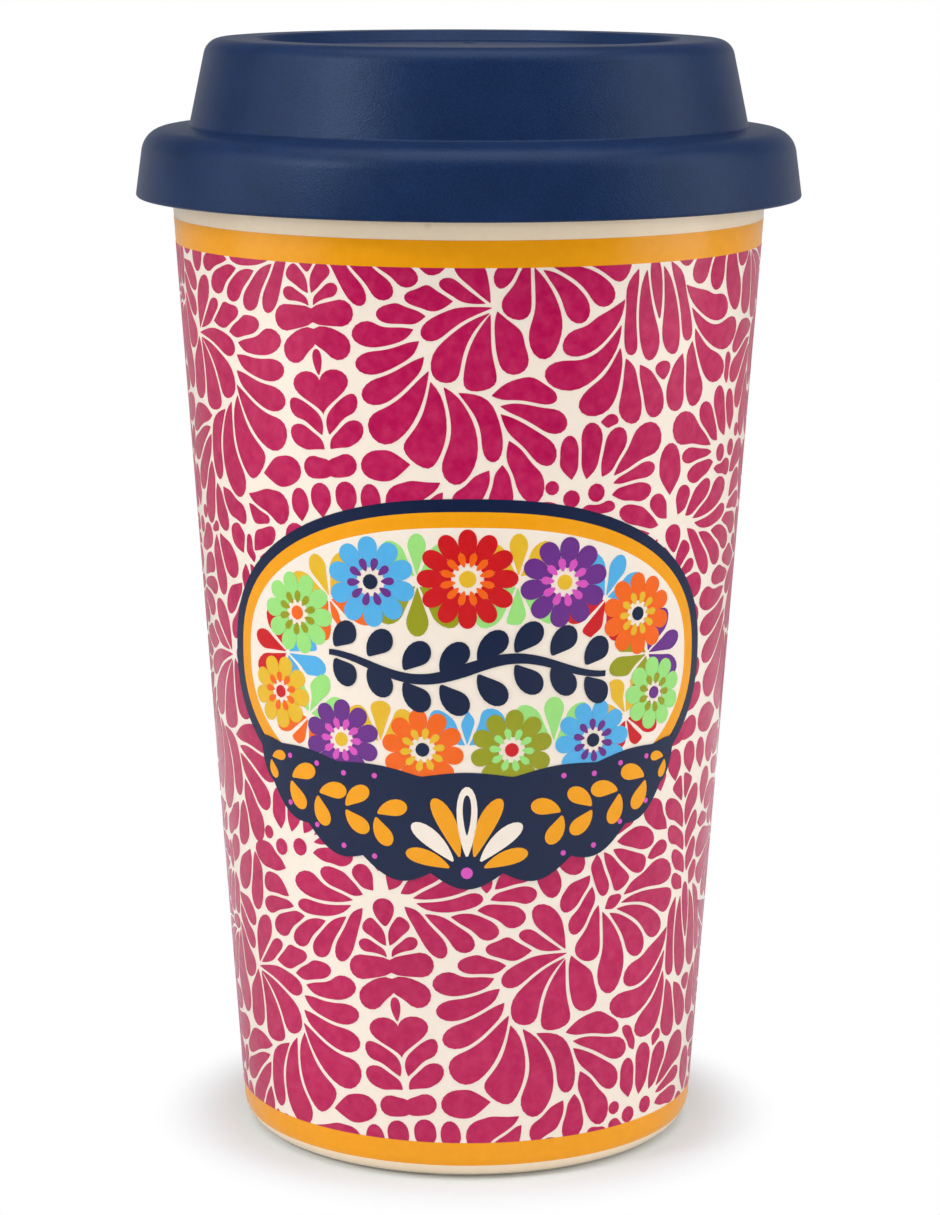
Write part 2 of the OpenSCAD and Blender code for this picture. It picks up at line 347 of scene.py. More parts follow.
def wrap_tree():
    """Geometry nodes that wrap a flat drawing on the cup's wall and give it a thickness."""
    name = "Wrapped print"
    if name in bpy.data.node_groups:
        return bpy.data.node_groups[name]
    sizes = dict.fromkeys(("Base radius", "Taper", "Sink", "Thickness"), "Float")
    tree = new_group(name, "GeometryNodeTree", {"Drawing": "Geometry", **sizes, "Finish": "Material"},
                     {"Print": "Geometry"})
    given = node(tree, "NodeGroupInput").outputs
    place = node(tree, "GeometryNodeInputPosition")
    part = node(tree, "ShaderNodeSeparateXYZ", {0: place.outputs[0]}).outputs
    radius = sum_of(tree, "MULTIPLY_ADD", part["Z"], given["Taper"], given["Base radius"])
    angle = sum_of(tree, "DIVIDE", part["X"], radius)
    face = sum_of(tree, "SUBTRACT", radius, given["Sink"])
    right = sum_of(tree, "MULTIPLY", face, sum_of(tree, "SINE", angle))
    back = sum_of(tree, "MULTIPLY", face, sum_of(tree, "COSINE", angle))
    front = sum_of(tree, "MULTIPLY", back, -1.0)
    spot = node(tree, "ShaderNodeCombineXYZ", {"X": right, "Y": front, "Z": part["Z"]})
    bent = node(tree, "GeometryNodeSetPosition", {"Geometry": given["Drawing"], "Position": spot.outputs[0]})
    raised = node(tree, "GeometryNodeExtrudeMesh", {
        "Mesh": bent.outputs[0], "Offset Scale": given["Thickness"], "Individual": False})
    under = node(tree, "GeometryNodeFlipFaces", {"Mesh": bent.outputs[0]})
    both = node(tree, "GeometryNodeJoinGeometry")
    tree.links.new(raised.outputs["Mesh"], both.inputs[0])
    tree.links.new(under.outputs[0], both.inputs[0])
    closed = node(tree, "GeometryNodeMergeByDistance", {"Geometry": both.outputs[0], "Distance": MERGE})
    whole = node(tree, "GeometryNodeRealizeInstances", {"Geometry": closed.outputs[0]})
    done = node(tree, "GeometryNodeSetMaterial", {"Geometry": whole.outputs[0], "Material": given["Finish"]})
    tree.links.new(done.outputs[0], node(tree, "NodeGroupOutput").inputs[0])
    return tree


# Flat drawings: strips of points along the wall and up it, in millimetres

SINK = 0.06


class Drawing:
    """Flat strips that are wrapped on the wall together."""

    def __init__(self):
        self.points = []
        self.faces = []
        self.colours = []

    def grid(self, rows, closed=False, colour=None):
        """Faces between rows of points. Each row runs from the strip's right side to its left side."""
        start = len(self.points)
        wide = len(rows[0])
        for row in rows:
            self.points.extend((x, z) for x, z in row)
        last = len(rows) if closed else len(rows) - 1
        for k in range(last):
            a = start + k * wide
            b = start + (k + 1) % len(rows) * wide
            for i in range(wide - 1):
                self.faces.append((a + i, b + i, b + i + 1, a + i + 1))
                self.colours.append(colour)

    def strip(self, left, right, columns=2, closed=False, colour=None):
        """A strip between its two sides."""
        share = np.linspace(0, 1, columns + 1)[None, :, None]
        rows = np.asarray(right)[:, None] * (1 - share) + np.asarray(left)[:, None] * share
        self.grid(rows, closed, colour)

    def plate(self, rim, centre, rings):
        """A filled outline that runs counter-clockwise round its centre."""
        rim = np.asarray(rim)
        share = np.linspace(1, 0, rings + 1)[None, :-1, None]
        rows = np.asarray(centre) + (rim - centre)[:, None] * share
        first = len(self.points)
        self.grid(rows, True)
        middle = len(self.points)
        self.points.append(tuple(centre))
        for k in range(len(rim)):
            a = first + k * rings + rings - 1
            b = first + (k + 1) % len(rim) * rings + rings - 1
            self.faces.append((a, b, middle))
            self.colours.append(None)


def wrapped(name, drawing, form, level, lift, material, slot_name, *nodes, trim=None):
    """A print of the cup: a drawing wrapped on the wall, with its face at a level of printed layers."""
    mesh = bpy.data.meshes.new(name)
    mesh.from_pydata([(x * MM, 0, z * MM) for x, z in drawing.points], [], drawing.faces)
    if drawing.colours and drawing.colours[0] is not None:
        tint = mesh.attributes.new("paint", "FLOAT_COLOR", "FACE")
        for item, colour in zip(tint.data, drawing.colours):
            item.color = (*colour, 1)
    if trim:
        work = bmesh.new()
        work.from_mesh(mesh)
        for height, up in zip(trim, (-1, 1)):
            everything = work.verts[:] + work.edges[:] + work.faces[:]
            bmesh.ops.bisect_plane(work, geom=everything, plane_co=(0, 0, height), plane_no=(0, 0, up),
                                   clear_outer=True)
        work.to_mesh(mesh)
        work.free()
    piece = new_object(name, mesh)
    wrap = piece.modifiers.new("Wrap", "NODES")
    wrap.node_group = wrap_tree()
    values = {"Base radius": form.base, "Taper": form.taper, "Sink": SINK * MM,
              "Thickness": SINK * MM + level * lift, "Finish": material}
    for item in wrap.node_group.interface.items_tree:
        if item.in_out == "INPUT" and item.name in values:
            wrap[item.identifier] = values[item.name]
    dress(make_plain(piece), "cup", slot_name, *nodes)


# Petal print: sprays of petals on a tile that is mirrored and repeated over the wall

HALF_REPEAT = 50.0
ROW_HEIGHT = 46.5
HEART_HEIGHT = 22.5
HEART_ANGLE = -0.28
STATIONS = 12
END_TURNS = np.radians((28, 54, 78))
FAR = 99.0
# Rows and columns of tiles that reach over the whole wall
ROWS = range(-1, 4)
COLUMNS = range(-3, 4)
# How far petals and fixed shapes stay from the seam
PETAL_SPARE = 1.2
FIXED_SPARE = 0.6
# Half width of a petal at its tip, its growth along the petal, and the half widths that it doesn't pass
TIP_HALF = 0.05
TIP_LIMIT = 0.12
GROWTH = 0.55
WIDEST = 2.7
LEAST_LIMIT = 0.3
SLENDERNESS = 0.26
# Length of a petal's round end, the largest share of the petal that it takes, and its least reach
END_LENGTH = 2.3
END_SHARE = 0.3
LEAST_REACH = 0.3
# Where on a petal a side gives way to its neighbours, and by what share of the overlap
GIVE_FROM = 0.4
GIVE = 0.5
# Rounds of swelling, the distance within which petals are neighbours, and how long the round ends may be
SWELL_ROUNDS = 4
NEAR = 8.0
FIRST_END = 1.3
LATER_END = 1.4
# The lane that is searched for the next edge ahead: its half width and how it opens
LANE_HALF = 0.35
LANE_OPENING = 0.2
# Least part of an offset that counts as towards a neighbour, and of a direction as towards the seam
LEAST_ACROSS = 0.05
LEAST_LEAN = 0.1
# Dots in the spaces that are left: the step of the search, radii, distance from the seam and heights searched
DOT_STEP = 0.8
LEAST_DOT = 0.66
WIDEST_DOT = 2.0
DOT_SPARE = 1.5
EDGE_SEARCH = 3.5
MIDDLE_SEARCH = 5.5
# Petals in the spaces that are left: longest half, step of directions, room round them, slimness and width
LONGEST_SPARE = 4.0
SPARE_TURN = 15
SPARE_ROOM = 0.7
SPARE_SLIM = 2.6
LEAST_BODY = 1.0
# Points along bars, hearts, leaves and dots
BAR_STEPS = 11
HEART_STEPS = 19
LEAF_STEPS = 11
DOT_STEPS = 7
DOT_TURN = math.radians(84)
LEAF_ENDS = (0.1, 0.96)
LEAF_POWER = 1.6
# Width that makes a petal worth a middle column of points
WIDE_PETAL = 2.6
# Half width, height and lift of the heart
HEART = (4.4, 6.2, -0.5)
# Right half of the tile: tip and round end of every petal, and the share of its length that it is bowed by
SPRAYS = {
    "fountain": (
        (3.2, 18.3, 8.0, 9.9, 0.05), (6.0, 17.0, 12.2, 10.4, 0.09), (9.6, 16.3, 16.2, 12.2, 0.10),
        (13.4, 16.8, 20.2, 13.9, 0.12), (5.0, 18.7, 15.2, 19.0, -0.11), (15.4, 18.1, 22.7, 17.4, 0.11),
        (4.6, 19.5, 14.2, 22.2, -0.05), (16.2, 19.6, 22.6, 21.0, 0.08), (2.9, 20.3, 9.8, 24.2, -0.04),
        (1.2, 20.9, 3.6, 25.0, -0.03)),
    "ladder": (
        (0.3, 12.7, 4.1, 17.1, 0.06), (0.4, 11.0, 4.8, 13.2, 0.10), (0.6, -6.9, 5.8, -1.7, 0.15),
        (0.5, -8.9, 6.0, -6.0, 0.10)),
    "comb": (
        (16.4, 8.1, 9.1, 9.2, 0.02), (14.5, 6.5, 5.9, 6.9, 0.10), (15.1, 4.8, 5.6, 2.7, 0.10),
        (15.5, 2.6, 6.1, -1.9, 0.10), (15.9, 0.6, 6.3, -7.3, 0.11), (16.0, -0.9, 11.2, -12.3, 0.17),
        (17.7, -1.8, 17.0, -15.2, 0.20), (19.6, -2.8, 22.7, -13.2, 0.20)),
    "plume": (
        (24.0, -3.7, 33.4, -5.9, 0.07), (25.0, -5.3, 33.9, -9.8, 0.05), (24.9, -6.4, 31.4, -14.6, 0.02),
        (25.6, -10.2, 28.2, -19.0, 0.0)),
    "wing": (
        (20.3, 9.7, 13.0, 11.3, 0.03), (25.4, 8.2, 15.0, 5.0, -0.06), (25.0, 7.5, 17.6, -2.2, -0.15),
        (25.1, 7.3, 22.8, -4.2, -0.10), (26.1, 7.6, 28.9, -1.4, -0.07), (24.6, 8.9, 18.0, 12.9, 0.0),
        (25.3, 8.9, 21.7, 16.2, 0.05), (30.3, 18.8, 25.3, 14.3, 0.04), (30.5, 17.0, 26.2, 10.4, 0.06)),
    "arch": (
        (31.2, 14.0, 28.2, 5.2, 0.0), (31.8, 12.8, 31.4, 0.7, 0.12), (33.0, 12.3, 37.7, 4.0, 0.11),
        (34.3, 12.6, 42.2, 5.4, 0.17), (35.2, 13.3, 45.8, 8.6, 0.14), (35.8, 14.4, 46.0, 14.2, 0.08)),
    "crest": (
        (23.6, 25.6, 24.6, 16.8, -0.06), (25.0, 25.8, 29.2, 19.8, -0.05), (31.8, 21.6, 32.4, 14.4, -0.03),
        (33.0, 21.6, 36.8, 14.2, 0.0), (34.6, 21.6, 40.8, 16.4, 0.02), (35.4, 22.6, 42.2, 20.6, 0.03),
        (34.4, 23.6, 39.0, 26.6, 0.06), (31.6, 23.2, 30.4, 28.4, 0.08)),
    "bud": (
        (44.4, 6.4, 34.1, 1.6, 0.20), (43.5, 3.0, 31.9, -1.4, 0.24), (43.0, -0.1, 36.3, -6.8, 0.19),
        (43.8, -1.7, 44.2, -11.1, 0.04), (47.1, 10.2, 45.0, -2.5, -0.08), (48.5, 9.8, 47.8, -2.8, -0.06),
        (46.0, -3.0, 47.9, -11.6, 0.06)),
    "steps": (
        (49.5, 13.2, 46.4, 17.6, -0.12), (49.5, 16.8, 45.8, 21.4, -0.12), (49.5, 20.4, 45.6, 25.4, -0.12),
        (49.4, 24.6, 47.6, 29.0, -0.12)),
    "rosette": (
        (33.7, -16.9, 34.2, -10.6, 0.02), (35.9, -17.2, 37.5, -9.1, -0.03), (38.3, -17.3, 42.2, -10.6, -0.05),
        (40.2, -17.5, 48.2, -12.0, -0.04), (40.0, -18.6, 48.0, -17.8, 0.04),
        (39.6, -20.2, 46.6, -20.9, 0.06)),
    "foot": (
        (11.8, -11.9, 4.5, -11.6, 0.0), (2.0, -18.4, 2.0, -13.4, 0.0), (5.6, -18.8, 5.6, -14.4, 0.0),
        (15.6, -14.8, 7.2, -17.0, 0.10), (15.8, -16.2, 10.6, -19.4, 0.04), (22.4, -13.9, 16.8, -19.4, 0.05),
        (24.3, -13.4, 22.2, -20.0, 0.05)),
}
# Bars across the upright axis: three points along the middle, then half widths in the middle and at the ends
BARS = (
    ((-4.5, 9.6), (0.0, 9.6), (4.5, 9.6), 0.95, 1.85),
    ((-3.5, 5.1), (0.0, 6.7), (3.5, 5.1), 1.05, 1.9),
    ((-2.6, -11.3), (0.0, -11.6), (2.6, -11.3), 1.1, 1.6),
)
# Drops on the upright axes: the place across, the heights of tip and round end, and the half width
DROPS = ((0.0, 15.5, 19.7, 1.6), (0.0, 1.3, 5.0, 0.72), (50.0, 2.6, 11.6, 1.0), (50.0, -5.9, -3.2, 1.4))
# Round seeds of the rosette, on both sides: place and radius
SEEDS = ((37.2, -19.4, 1.3), (33.4, -19.6, 1.25), (30.8, -17.6, 1.0))


def unit(vectors):
    """The vectors at a length of one."""
    return vectors / np.maximum(np.linalg.norm(vectors, axis=-1, keepdims=True), 1e-9)


def left_of(direction):
    """The directions a quarter turn to the left."""
    return np.stack([-direction[..., 1], direction[..., 0]], -1)


def bowed(tip, end, bend, shares=np.linspace(0, 1, STATIONS)):
    """Points at shares of a curve from tip to end, bowed to its left by a share of its length."""
    tip = np.array(tip, float)
    end = np.array(end, float)
    middle = (tip + end) / 2 + left_of(end - tip) * bend * 2
    u = shares[:, None]
    return (1 - u) ** 2 * tip + 2 * u * (1 - u) * middle + u ** 2 * end


def bar_sides(first, middle, last, half_middle, half_end):
    """Left and right side of a bar with round ends and a notch in the middle, through three points."""
    u = np.linspace(0, 1, BAR_STEPS)
    w = u[:, None]
    spine = bowed(first, last, 0.0, u) + 4 * w * (1 - w) * (np.array(middle) - (np.array(first) + last) / 2)
    along = unit(np.gradient(spine, axis=0))
    half = half_middle + (half_end - half_middle) * np.sqrt(np.abs(2 * u - 1))
    stops = [(spine[0], -along[0] * np.sin(a), along[0], np.cos(a)) for a in END_TURNS[::-1]]
    stops += [(p, 0 * t, t, h / half_end) for p, t, h in zip(spine, along, half)]
    stops += [(spine[-1], along[-1] * np.sin(a), along[-1], np.cos(a)) for a in END_TURNS]
    left = [p + (push + left_of(t) * wide) * half_end for p, push, t, wide in stops]
    right = [p + (push - left_of(t) * wide) * half_end for p, push, t, wide in stops]
    return np.array(left), np.array(right)


def heart_sides(half_width, height, lift):
    """Upper and lower side of a heart, from its left to its right."""
    turn_by = np.linspace(-1, 1, HEART_STEPS) * math.pi / 2
    x = half_width * np.sin(turn_by) ** 3

    def rise(a):
        return lift + (13 * np.cos(a) - 5 * np.cos(2 * a) - 2 * np.cos(3 * a) - np.cos(4 * a)) * height / 29

    upper = np.stack([x, rise(np.abs(turn_by))], 1)
    lower = np.stack([x, rise(math.pi - np.abs(turn_by))], 1)
    return upper, lower


def leaf_sides(tip, end, half, bend=0.0):
    """Left and right side of a leaf with a pointed tip and a round end."""
    share = (1 - np.cos(np.linspace(*LEAF_ENDS, LEAF_STEPS) * math.pi)) / 2
    spine = bowed(tip, end, bend, share)
    along = unit(np.gradient(spine, axis=0))
    swelling = share ** LEAF_POWER
    wide = (half * 2 * np.sqrt(swelling * (1 - swelling)))[:, None]
    return spine + left_of(along) * wide, spine - left_of(along) * wide


def softened(left, right):
    """The two sides with the corners of their outline rounded."""
    loop = np.concatenate([left, right[::-1]])
    for _ in range(2):
        loop[1:-1] = (loop[:-2] + 2 * loop[1:-1] + loop[2:]) / 4
    return loop[:len(left)], loop[len(left):][::-1]


class Wall:
    """The unrolled wall that the petals are laid on, in millimetres."""

    def __init__(self, form, line, tilt):
        self.base = form.base / MM
        self.taper = form.taper
        self.low = form.field_low / MM
        self.high = form.field_top / MM
        self.line = line / MM
        self.tilt = tilt

    def seam(self, z):
        """Distance along the wall from the front to the seam at the back."""
        return np.pi * (self.base + self.taper * z)

    def lay(self, points, row, column, mirror):
        """Points of the tile, laid in one repeat of the sheet."""
        x = points[:, 0] * mirror + (2 * column + row % 2) * HALF_REPEAT
        y = points[:, 1] + row * ROW_HEIGHT
        start = HEART_ANGLE * (self.base + self.taper * HEART_HEIGHT)
        cos = math.cos(self.tilt)
        sin = math.sin(self.tilt)
        return np.stack([start + x * cos - y * sin, HEART_HEIGHT + x * sin + y * cos], 1)

    def holds(self, points, spare):
        """Whether a shape lies in the printed field and clear of the seam."""
        if np.any(np.abs(points[:, 0]) > self.seam(points[:, 1]) - spare):
            return False
        return points[:, 1].max() > self.low - 1 and points[:, 1].min() < self.high + 1

    def seam_room(self, points, direction):
        """Room from points to the seam in a direction."""
        lean = direction[..., 0] * np.sign(points[..., 0])
        room = (self.seam(points[..., 1]) - np.abs(points[..., 0])) / np.maximum(lean, LEAST_LEAN)
        return np.where(lean > LEAST_LEAN, room, FAR) - self.line / 2


class Petal:
    """A petal that swells about its axis."""

    def __init__(self, axis, wall):
        steps = np.linalg.norm(np.diff(axis, axis=0), axis=1)
        run = np.concatenate([[0], np.cumsum(steps)])
        length = run[-1]
        at = np.linspace(0, length - min(END_LENGTH, END_SHARE * length), STATIONS)
        self.axis = np.stack([np.interp(at, run, axis[:, 0]), np.interp(at, run, axis[:, 1])], 1)
        self.along = unit(np.gradient(self.axis, axis=0))
        self.left = left_of(self.along)
        share = np.linspace(0, 1, STATIONS)
        widest = min(WIDEST, LEAST_LIMIT + SLENDERNESS * length)
        self.limit = np.minimum(TIP_LIMIT + GROWTH * share * length, widest)
        self.give = np.where(share > GIVE_FROM, GIVE, 0.0)
        self.half = [np.full(STATIONS, TIP_HALF), np.full(STATIONS, TIP_HALF)]
        self.reach = LEAST_REACH
        self.wall = wall

    def sides(self):
        """Left and right side, from the tip to the round end."""
        left = list(self.axis + self.left * self.half[0][:, None])
        right = list(self.axis - self.left * self.half[1][:, None])
        for a in END_TURNS:
            middle = self.axis[-1] + self.along[-1] * self.reach * np.sin(a)
            left.append(middle + self.left[-1] * self.half[0][-1] * np.cos(a))
            right.append(middle - self.left[-1] * self.half[1][-1] * np.cos(a))
        return np.array(left), np.array(right)

    def end_limit(self, factor):
        """The longest reach of the round end, from the width before it."""
        return factor * (self.half[0][-1] + self.half[1][-1]) / 2

    def settle(self, side, room):
        """Sets the half width of one side, smoothed along the petal."""
        half = np.clip(np.minimum(room, self.limit), TIP_HALF, None)
        self.half[side] = np.convolve(np.pad(half, 1, mode="edge"), (0.25, 0.5, 0.25), "valid")
        self.half[side][0] = TIP_HALF


def half_way(offsets, direction):
    """Distance in a direction to the line half way to each neighbouring point, the least of them."""
    across = (offsets * direction[:, None]).sum(2)
    square = (offsets ** 2).sum(2)
    away = square / (2 * np.maximum(across, LEAST_ACROSS))
    return np.where(across > LEAST_ACROSS, away, FAR).min(1, initial=FAR)


def clear_way(offsets, direction, side):
    """Distance to the nearest point that lies ahead in a direction."""
    ahead = (offsets * direction[:, None]).sum(2)
    aside = np.abs((offsets * side[:, None]).sum(2))
    in_lane = (ahead > 0) & (aside < LANE_OPENING * ahead + LANE_HALF)
    return np.where(in_lane, ahead, FAR).min(1, initial=FAR)


def neighbours(shapes, reach):
    """For each shape, the numbers of the shapes whose boxes lie within reach."""
    low = np.array([s.min(0) for s in shapes]) - reach / 2
    high = np.array([s.max(0) for s in shapes]) + reach / 2
    near = []
    for i in range(len(shapes)):
        touch = np.all((low < high[i]) & (high > low[i]), axis=1)
        touch[i] = False
        near.append(np.flatnonzero(touch))
    return near


def dense(sides):
    """Points of the sides and the points half way between them."""
    return np.concatenate([part for s in sides for part in (s, (s[1:] + s[:-1]) / 2)])


def end_room(petal, offsets, line):
    """Room ahead of a petal's round end."""
    ahead = clear_way(offsets[-1:], petal.along[-1:], petal.left[-1:])[0] - line
    return min(ahead, petal.wall.seam_room(petal.axis[-1], petal.along[-1]))


def swell(petals, solids, line):
    """Widens the petals until only a bare line is left between them and their neighbours."""
    count = len(petals)
    near = neighbours([p.axis for p in petals] + solids, NEAR)
    empty = np.zeros((0, 2))
    for p, others in zip(petals, near):
        axes = np.concatenate([petals[k].axis for k in others if k < count] + [empty])
        edges = np.concatenate([solids[k - count] for k in others if k >= count] + [empty])
        to_axes = axes[None] - p.axis[:, None]
        to_edges = edges[None] - p.axis[:, None]
        for side, way in enumerate((p.left, -p.left)):
            room = np.minimum(half_way(to_axes, way) - line / 2, clear_way(to_edges, way, p.along) - line)
            p.settle(side, np.minimum(room, p.wall.seam_room(p.axis, way)))
        room = min(half_way(to_axes[-1:], p.along[-1:])[0] - line / 2, end_room(p, to_edges, line))
        p.reach = max(LEAST_REACH, min(room, p.end_limit(FIRST_END)))
    for _ in range(SWELL_ROUNDS):
        outlines = [dense(p.sides()) for p in petals] + [dense((s,)) for s in solids]
        for p, others in zip(petals, near):
            edges = np.concatenate([outlines[k] for k in others] + [empty])
            offsets = edges[None] - p.axis[:, None]
            for side, way in enumerate((p.left, -p.left)):
                room = np.minimum(clear_way(offsets, way, p.along) - line, p.wall.seam_room(p.axis, way))
                gap = room - p.half[side]
                p.settle(side, p.half[side] + np.where(gap > 0, gap / 2, gap * p.give))
            room = end_room(p, offsets, line)
            p.reach = max(LEAST_REACH, min((p.reach + room) / 2, p.end_limit(LATER_END)))


def spare_dots(outlines, wall):
    """Centres and radii of round dots in the spaces that the petals leave."""
    edges = np.concatenate([np.concatenate(s) for s in outlines])
    middles = np.concatenate([(a + b) / 2 for a, b in outlines])
    halves = np.concatenate([np.linalg.norm(a - b, axis=1) / 2 for a, b in outlines])
    spots = []
    rooms = []
    for z in np.arange(wall.low, wall.high, DOT_STEP):
        x = np.arange(-wall.seam(z) + DOT_SPARE, wall.seam(z) - DOT_SPARE, DOT_STEP)
        by_edge = edges[np.abs(edges[:, 1] - z) < EDGE_SEARCH]
        by_middle = np.abs(middles[:, 1] - z) < MIDDLE_SEARCH
        to_edge = np.hypot(x[:, None] - by_edge[None, :, 0], z - by_edge[None, :, 1]).min(1)
        centre = middles[by_middle]
        to_middle = np.hypot(x[:, None] - centre[None, :, 0], z - centre[None, :, 1]) - halves[by_middle]
        spots.append(np.stack([x, np.full(len(x), z)], 1))
        rooms.append(np.minimum(np.minimum(to_edge, to_middle.min(1)), wall.seam(z) - np.abs(x)))
    spots = np.concatenate(spots)
    rooms = np.concatenate(rooms)
    dots = []
    while True:
        best = int(np.argmax(rooms))
        radius = min(rooms[best] - wall.line, WIDEST_DOT)
        if radius < LEAST_DOT:
            return dots
        dots.append((spots[best], radius))
        rooms = np.minimum(rooms, np.linalg.norm(spots - spots[best], axis=1) - radius)


def dot_sides(centre, radius):
    """Left and right side of a round dot."""
    a = np.linspace(-1, 1, DOT_STEPS) * DOT_TURN
    up = centre[1] + radius * np.sin(a)
    out = radius * np.cos(a)
    return np.stack([centre[0] - out, up], 1), np.stack([centre[0] + out, up], 1)


def spare_petals(outlines, wall):
    """Petals along the longest way through each space that is left, and dots where no way is long."""
    edges = np.concatenate([dense(pair) for pair in outlines])
    turns = np.radians(np.arange(0, 360, SPARE_TURN))
    half_turn = len(turns) // 2
    ways = np.stack([np.cos(turns), np.sin(turns)], 1)
    petals = []
    dots = []
    taken = np.full((1, 2), FAR * FAR)
    for centre, radius in spare_dots(outlines, wall):
        if np.linalg.norm(taken - centre, axis=1).min() < radius + SPARE_ROOM:
            continue
        near = edges[np.abs(edges - centre).max(1) < 2 * LONGEST_SPARE] - centre
        clear = clear_way(near[None], ways, left_of(ways)) - wall.line
        room = np.minimum(clear, wall.seam_room(np.tile(centre, (len(ways), 1)), ways))
        room = np.clip(room, 0, LONGEST_SPARE)
        both = room + np.roll(room, half_turn)
        k = int(np.argmax(both))
        if both[k] > SPARE_SLIM * radius:
            axis = bowed(centre - ways[k] * room[k - half_turn], centre + ways[k] * room[k], 0.0)
            petals.append(Petal(axis, wall))
            edges = np.concatenate([edges, axis])
            taken = np.concatenate([taken, axis])
        else:
            dots.append(dot_sides(centre, radius))
            edges = np.concatenate([edges, *dots[-1]])
    swell(petals, [np.concatenate(pair) for pair in outlines + dots], wall.line)
    shapes = [softened(*p.sides()) for p in petals]
    return [pair for pair in shapes if full_bodied(*pair)] + dots


def full_bodied(left, right):
    """Whether a petal is wide along most of its length."""
    wide = np.linalg.norm(left - right, axis=1)
    return wide.max() > LEAST_BODY and np.median(wide) > wide.max() / 2


def petal_outlines(wall, hidden):
    """Both sides of every petal on the wall, apart from those that a print on top hides."""
    tile = [bowed(row[:2], row[2:4], row[4]) for rows in SPRAYS.values() for row in rows]
    fixed = [bar_sides(*bar) for bar in BARS] + [heart_sides(*HEART)]
    fixed += [leaf_sides((x, low), (x, high), half) for x, low, high, half in DROPS]
    fixed += [dot_sides((side * x, y), radius) for x, y, radius in SEEDS for side in (1, -1)]
    petals = []
    solids = []
    for row in ROWS:
        for column in COLUMNS:
            for axis in tile:
                for mirror in (1, -1):
                    laid = wall.lay(axis, row, column, mirror)
                    if wall.holds(laid, PETAL_SPARE):
                        petals.append(Petal(laid, wall))
            for sides in fixed:
                pair = [wall.lay(side, row, column, 1) for side in sides]
                if wall.holds(np.concatenate(pair), FIXED_SPARE):
                    solids.append(pair)
    swell(petals, [np.concatenate(pair) for pair in solids], wall.line)
    outlines = [softened(*p.sides()) for p in petals] + solids
    outlines += spare_petals(outlines, wall)
    return [pair for pair in outlines if not hidden(np.concatenate(pair))]


# Medallion: an oval frame with a flower field, and a garland that hangs from it

OVAL_POWER = 2.4
OVAL_STEPS = 120
FIELD_RINGS = 14
# What a hidden shape keeps from the oval's edge
HIDDEN_SPARE = 0.5
# Levels of the printed layers, counted from the wall
PETAL_LEVEL = 2
OVAL_LEVEL = 3
FOLIAGE_LEVEL = 4
SPRIG_LEVEL = 6
GARLAND_LEVEL = 7
ORNAMENT_LEVEL = 8


class Medallion:
    """Outlines of the medallion on the unrolled wall, in millimetres."""

    def __init__(self, form, prints):
        self.base = form.base / MM
        self.taper = form.taper
        self.half_width = prints.oval_width / MM / 2
        self.half_height = prints.oval_height / MM / 2
        self.middle = prints.oval_middle / MM
        self.slant = math.sqrt(1 - (self.half_width / (self.base + self.taper * self.middle)) ** 2)

    def unroll(self, x, z):
        """A point seen from the front, as a distance along the wall and a height."""
        radius = self.base + self.taper * z
        return np.stack([radius * np.arcsin(np.clip(x / radius, -1, 1)), z], -1)

    def oval(self, inset):
        """The oval drawn in by an inset, counter-clockwise."""
        a = np.linspace(0, 2 * math.pi, OVAL_STEPS, endpoint=False)
        c = np.cos(a)
        s = np.sin(a)
        x = (self.half_width - inset * self.slant) * np.sign(c) * np.abs(c) ** (2 / OVAL_POWER)
        z = (self.half_height - inset) * np.sign(s) * np.abs(s) ** (2 / OVAL_POWER)
        return self.unroll(x, self.middle + z)

    def covers(self, points):
        """Whether the oval hides a whole shape."""
        radius = self.base + self.taper * points[:, 1]
        x = radius * np.sin(np.clip(points[:, 0] / radius, -math.pi / 2, math.pi / 2))
        z = points[:, 1] - self.middle
        across = np.abs(x) / (self.half_width - HIDDEN_SPARE)
        up = np.abs(z) / (self.half_height - HIDDEN_SPARE)
        inside = across ** OVAL_POWER + up ** OVAL_POWER
        return bool(np.all(inside < 1) and np.all(np.abs(points[:, 0]) < radius * math.pi / 2))


def polar(centre, radius, angle):
    """The point at a distance and an angle from a centre."""
    return centre[0] + radius * math.cos(angle), centre[1] + radius * math.sin(angle)


# A daisy's petals, inner petals and dot as shares of its radius, and the turn from one daisy to the next
DAISY_ENDS = (0.3, 1.0)
DAISY_FULLNESS = 0.72
INNER_ENDS = (0.24, 0.54)
INNER_FULLNESS = 0.28
DAISY_DOT = 0.17
DAISY_SPIN = 0.4


def petal_ring(drawing, centre, ends, half, petals, spin, columns, colour):
    """A ring of petals between two radii round a centre."""
    for k in range(petals):
        root, end = (polar(centre, radius, spin + 2 * math.pi * k / petals) for radius in ends)
        drawing.strip(*leaf_sides(root, end, half), columns=columns, colour=colour)


# Daisies of the medallion: place from its centre, radius, petals and colours of petals, dot and inner ring
DAISIES = (
    (0.0, 13.2, 7.0, 12, "red", "gold", "orange"),
    (-13.6, 12.4, 6.4, 10, "sky", "navy", "purple"),
    (13.6, 12.4, 6.4, 10, "purple", "gold", "pink"),
    (-25.4, 6.9, 5.9, 10, "leaf", "orange", "olive"),
    (25.4, 6.9, 5.9, 10, "orange", "navy", "gold"),
    (-28.8, -5.0, 5.3, 9, "gold", "red", "orange"),
    (28.8, -5.0, 5.3, 9, "leaf", "purple", "olive"),
    (-18.2, -10.6, 5.8, 10, "purple", "gold", "pink"),
    (18.2, -10.6, 5.8, 10, "sky", "navy", "purple"),
    (-6.2, -11.2, 5.8, 10, "orange", "navy", "gold"),
    (6.2, -11.2, 5.8, 10, "olive", "red", "leaf"),
)
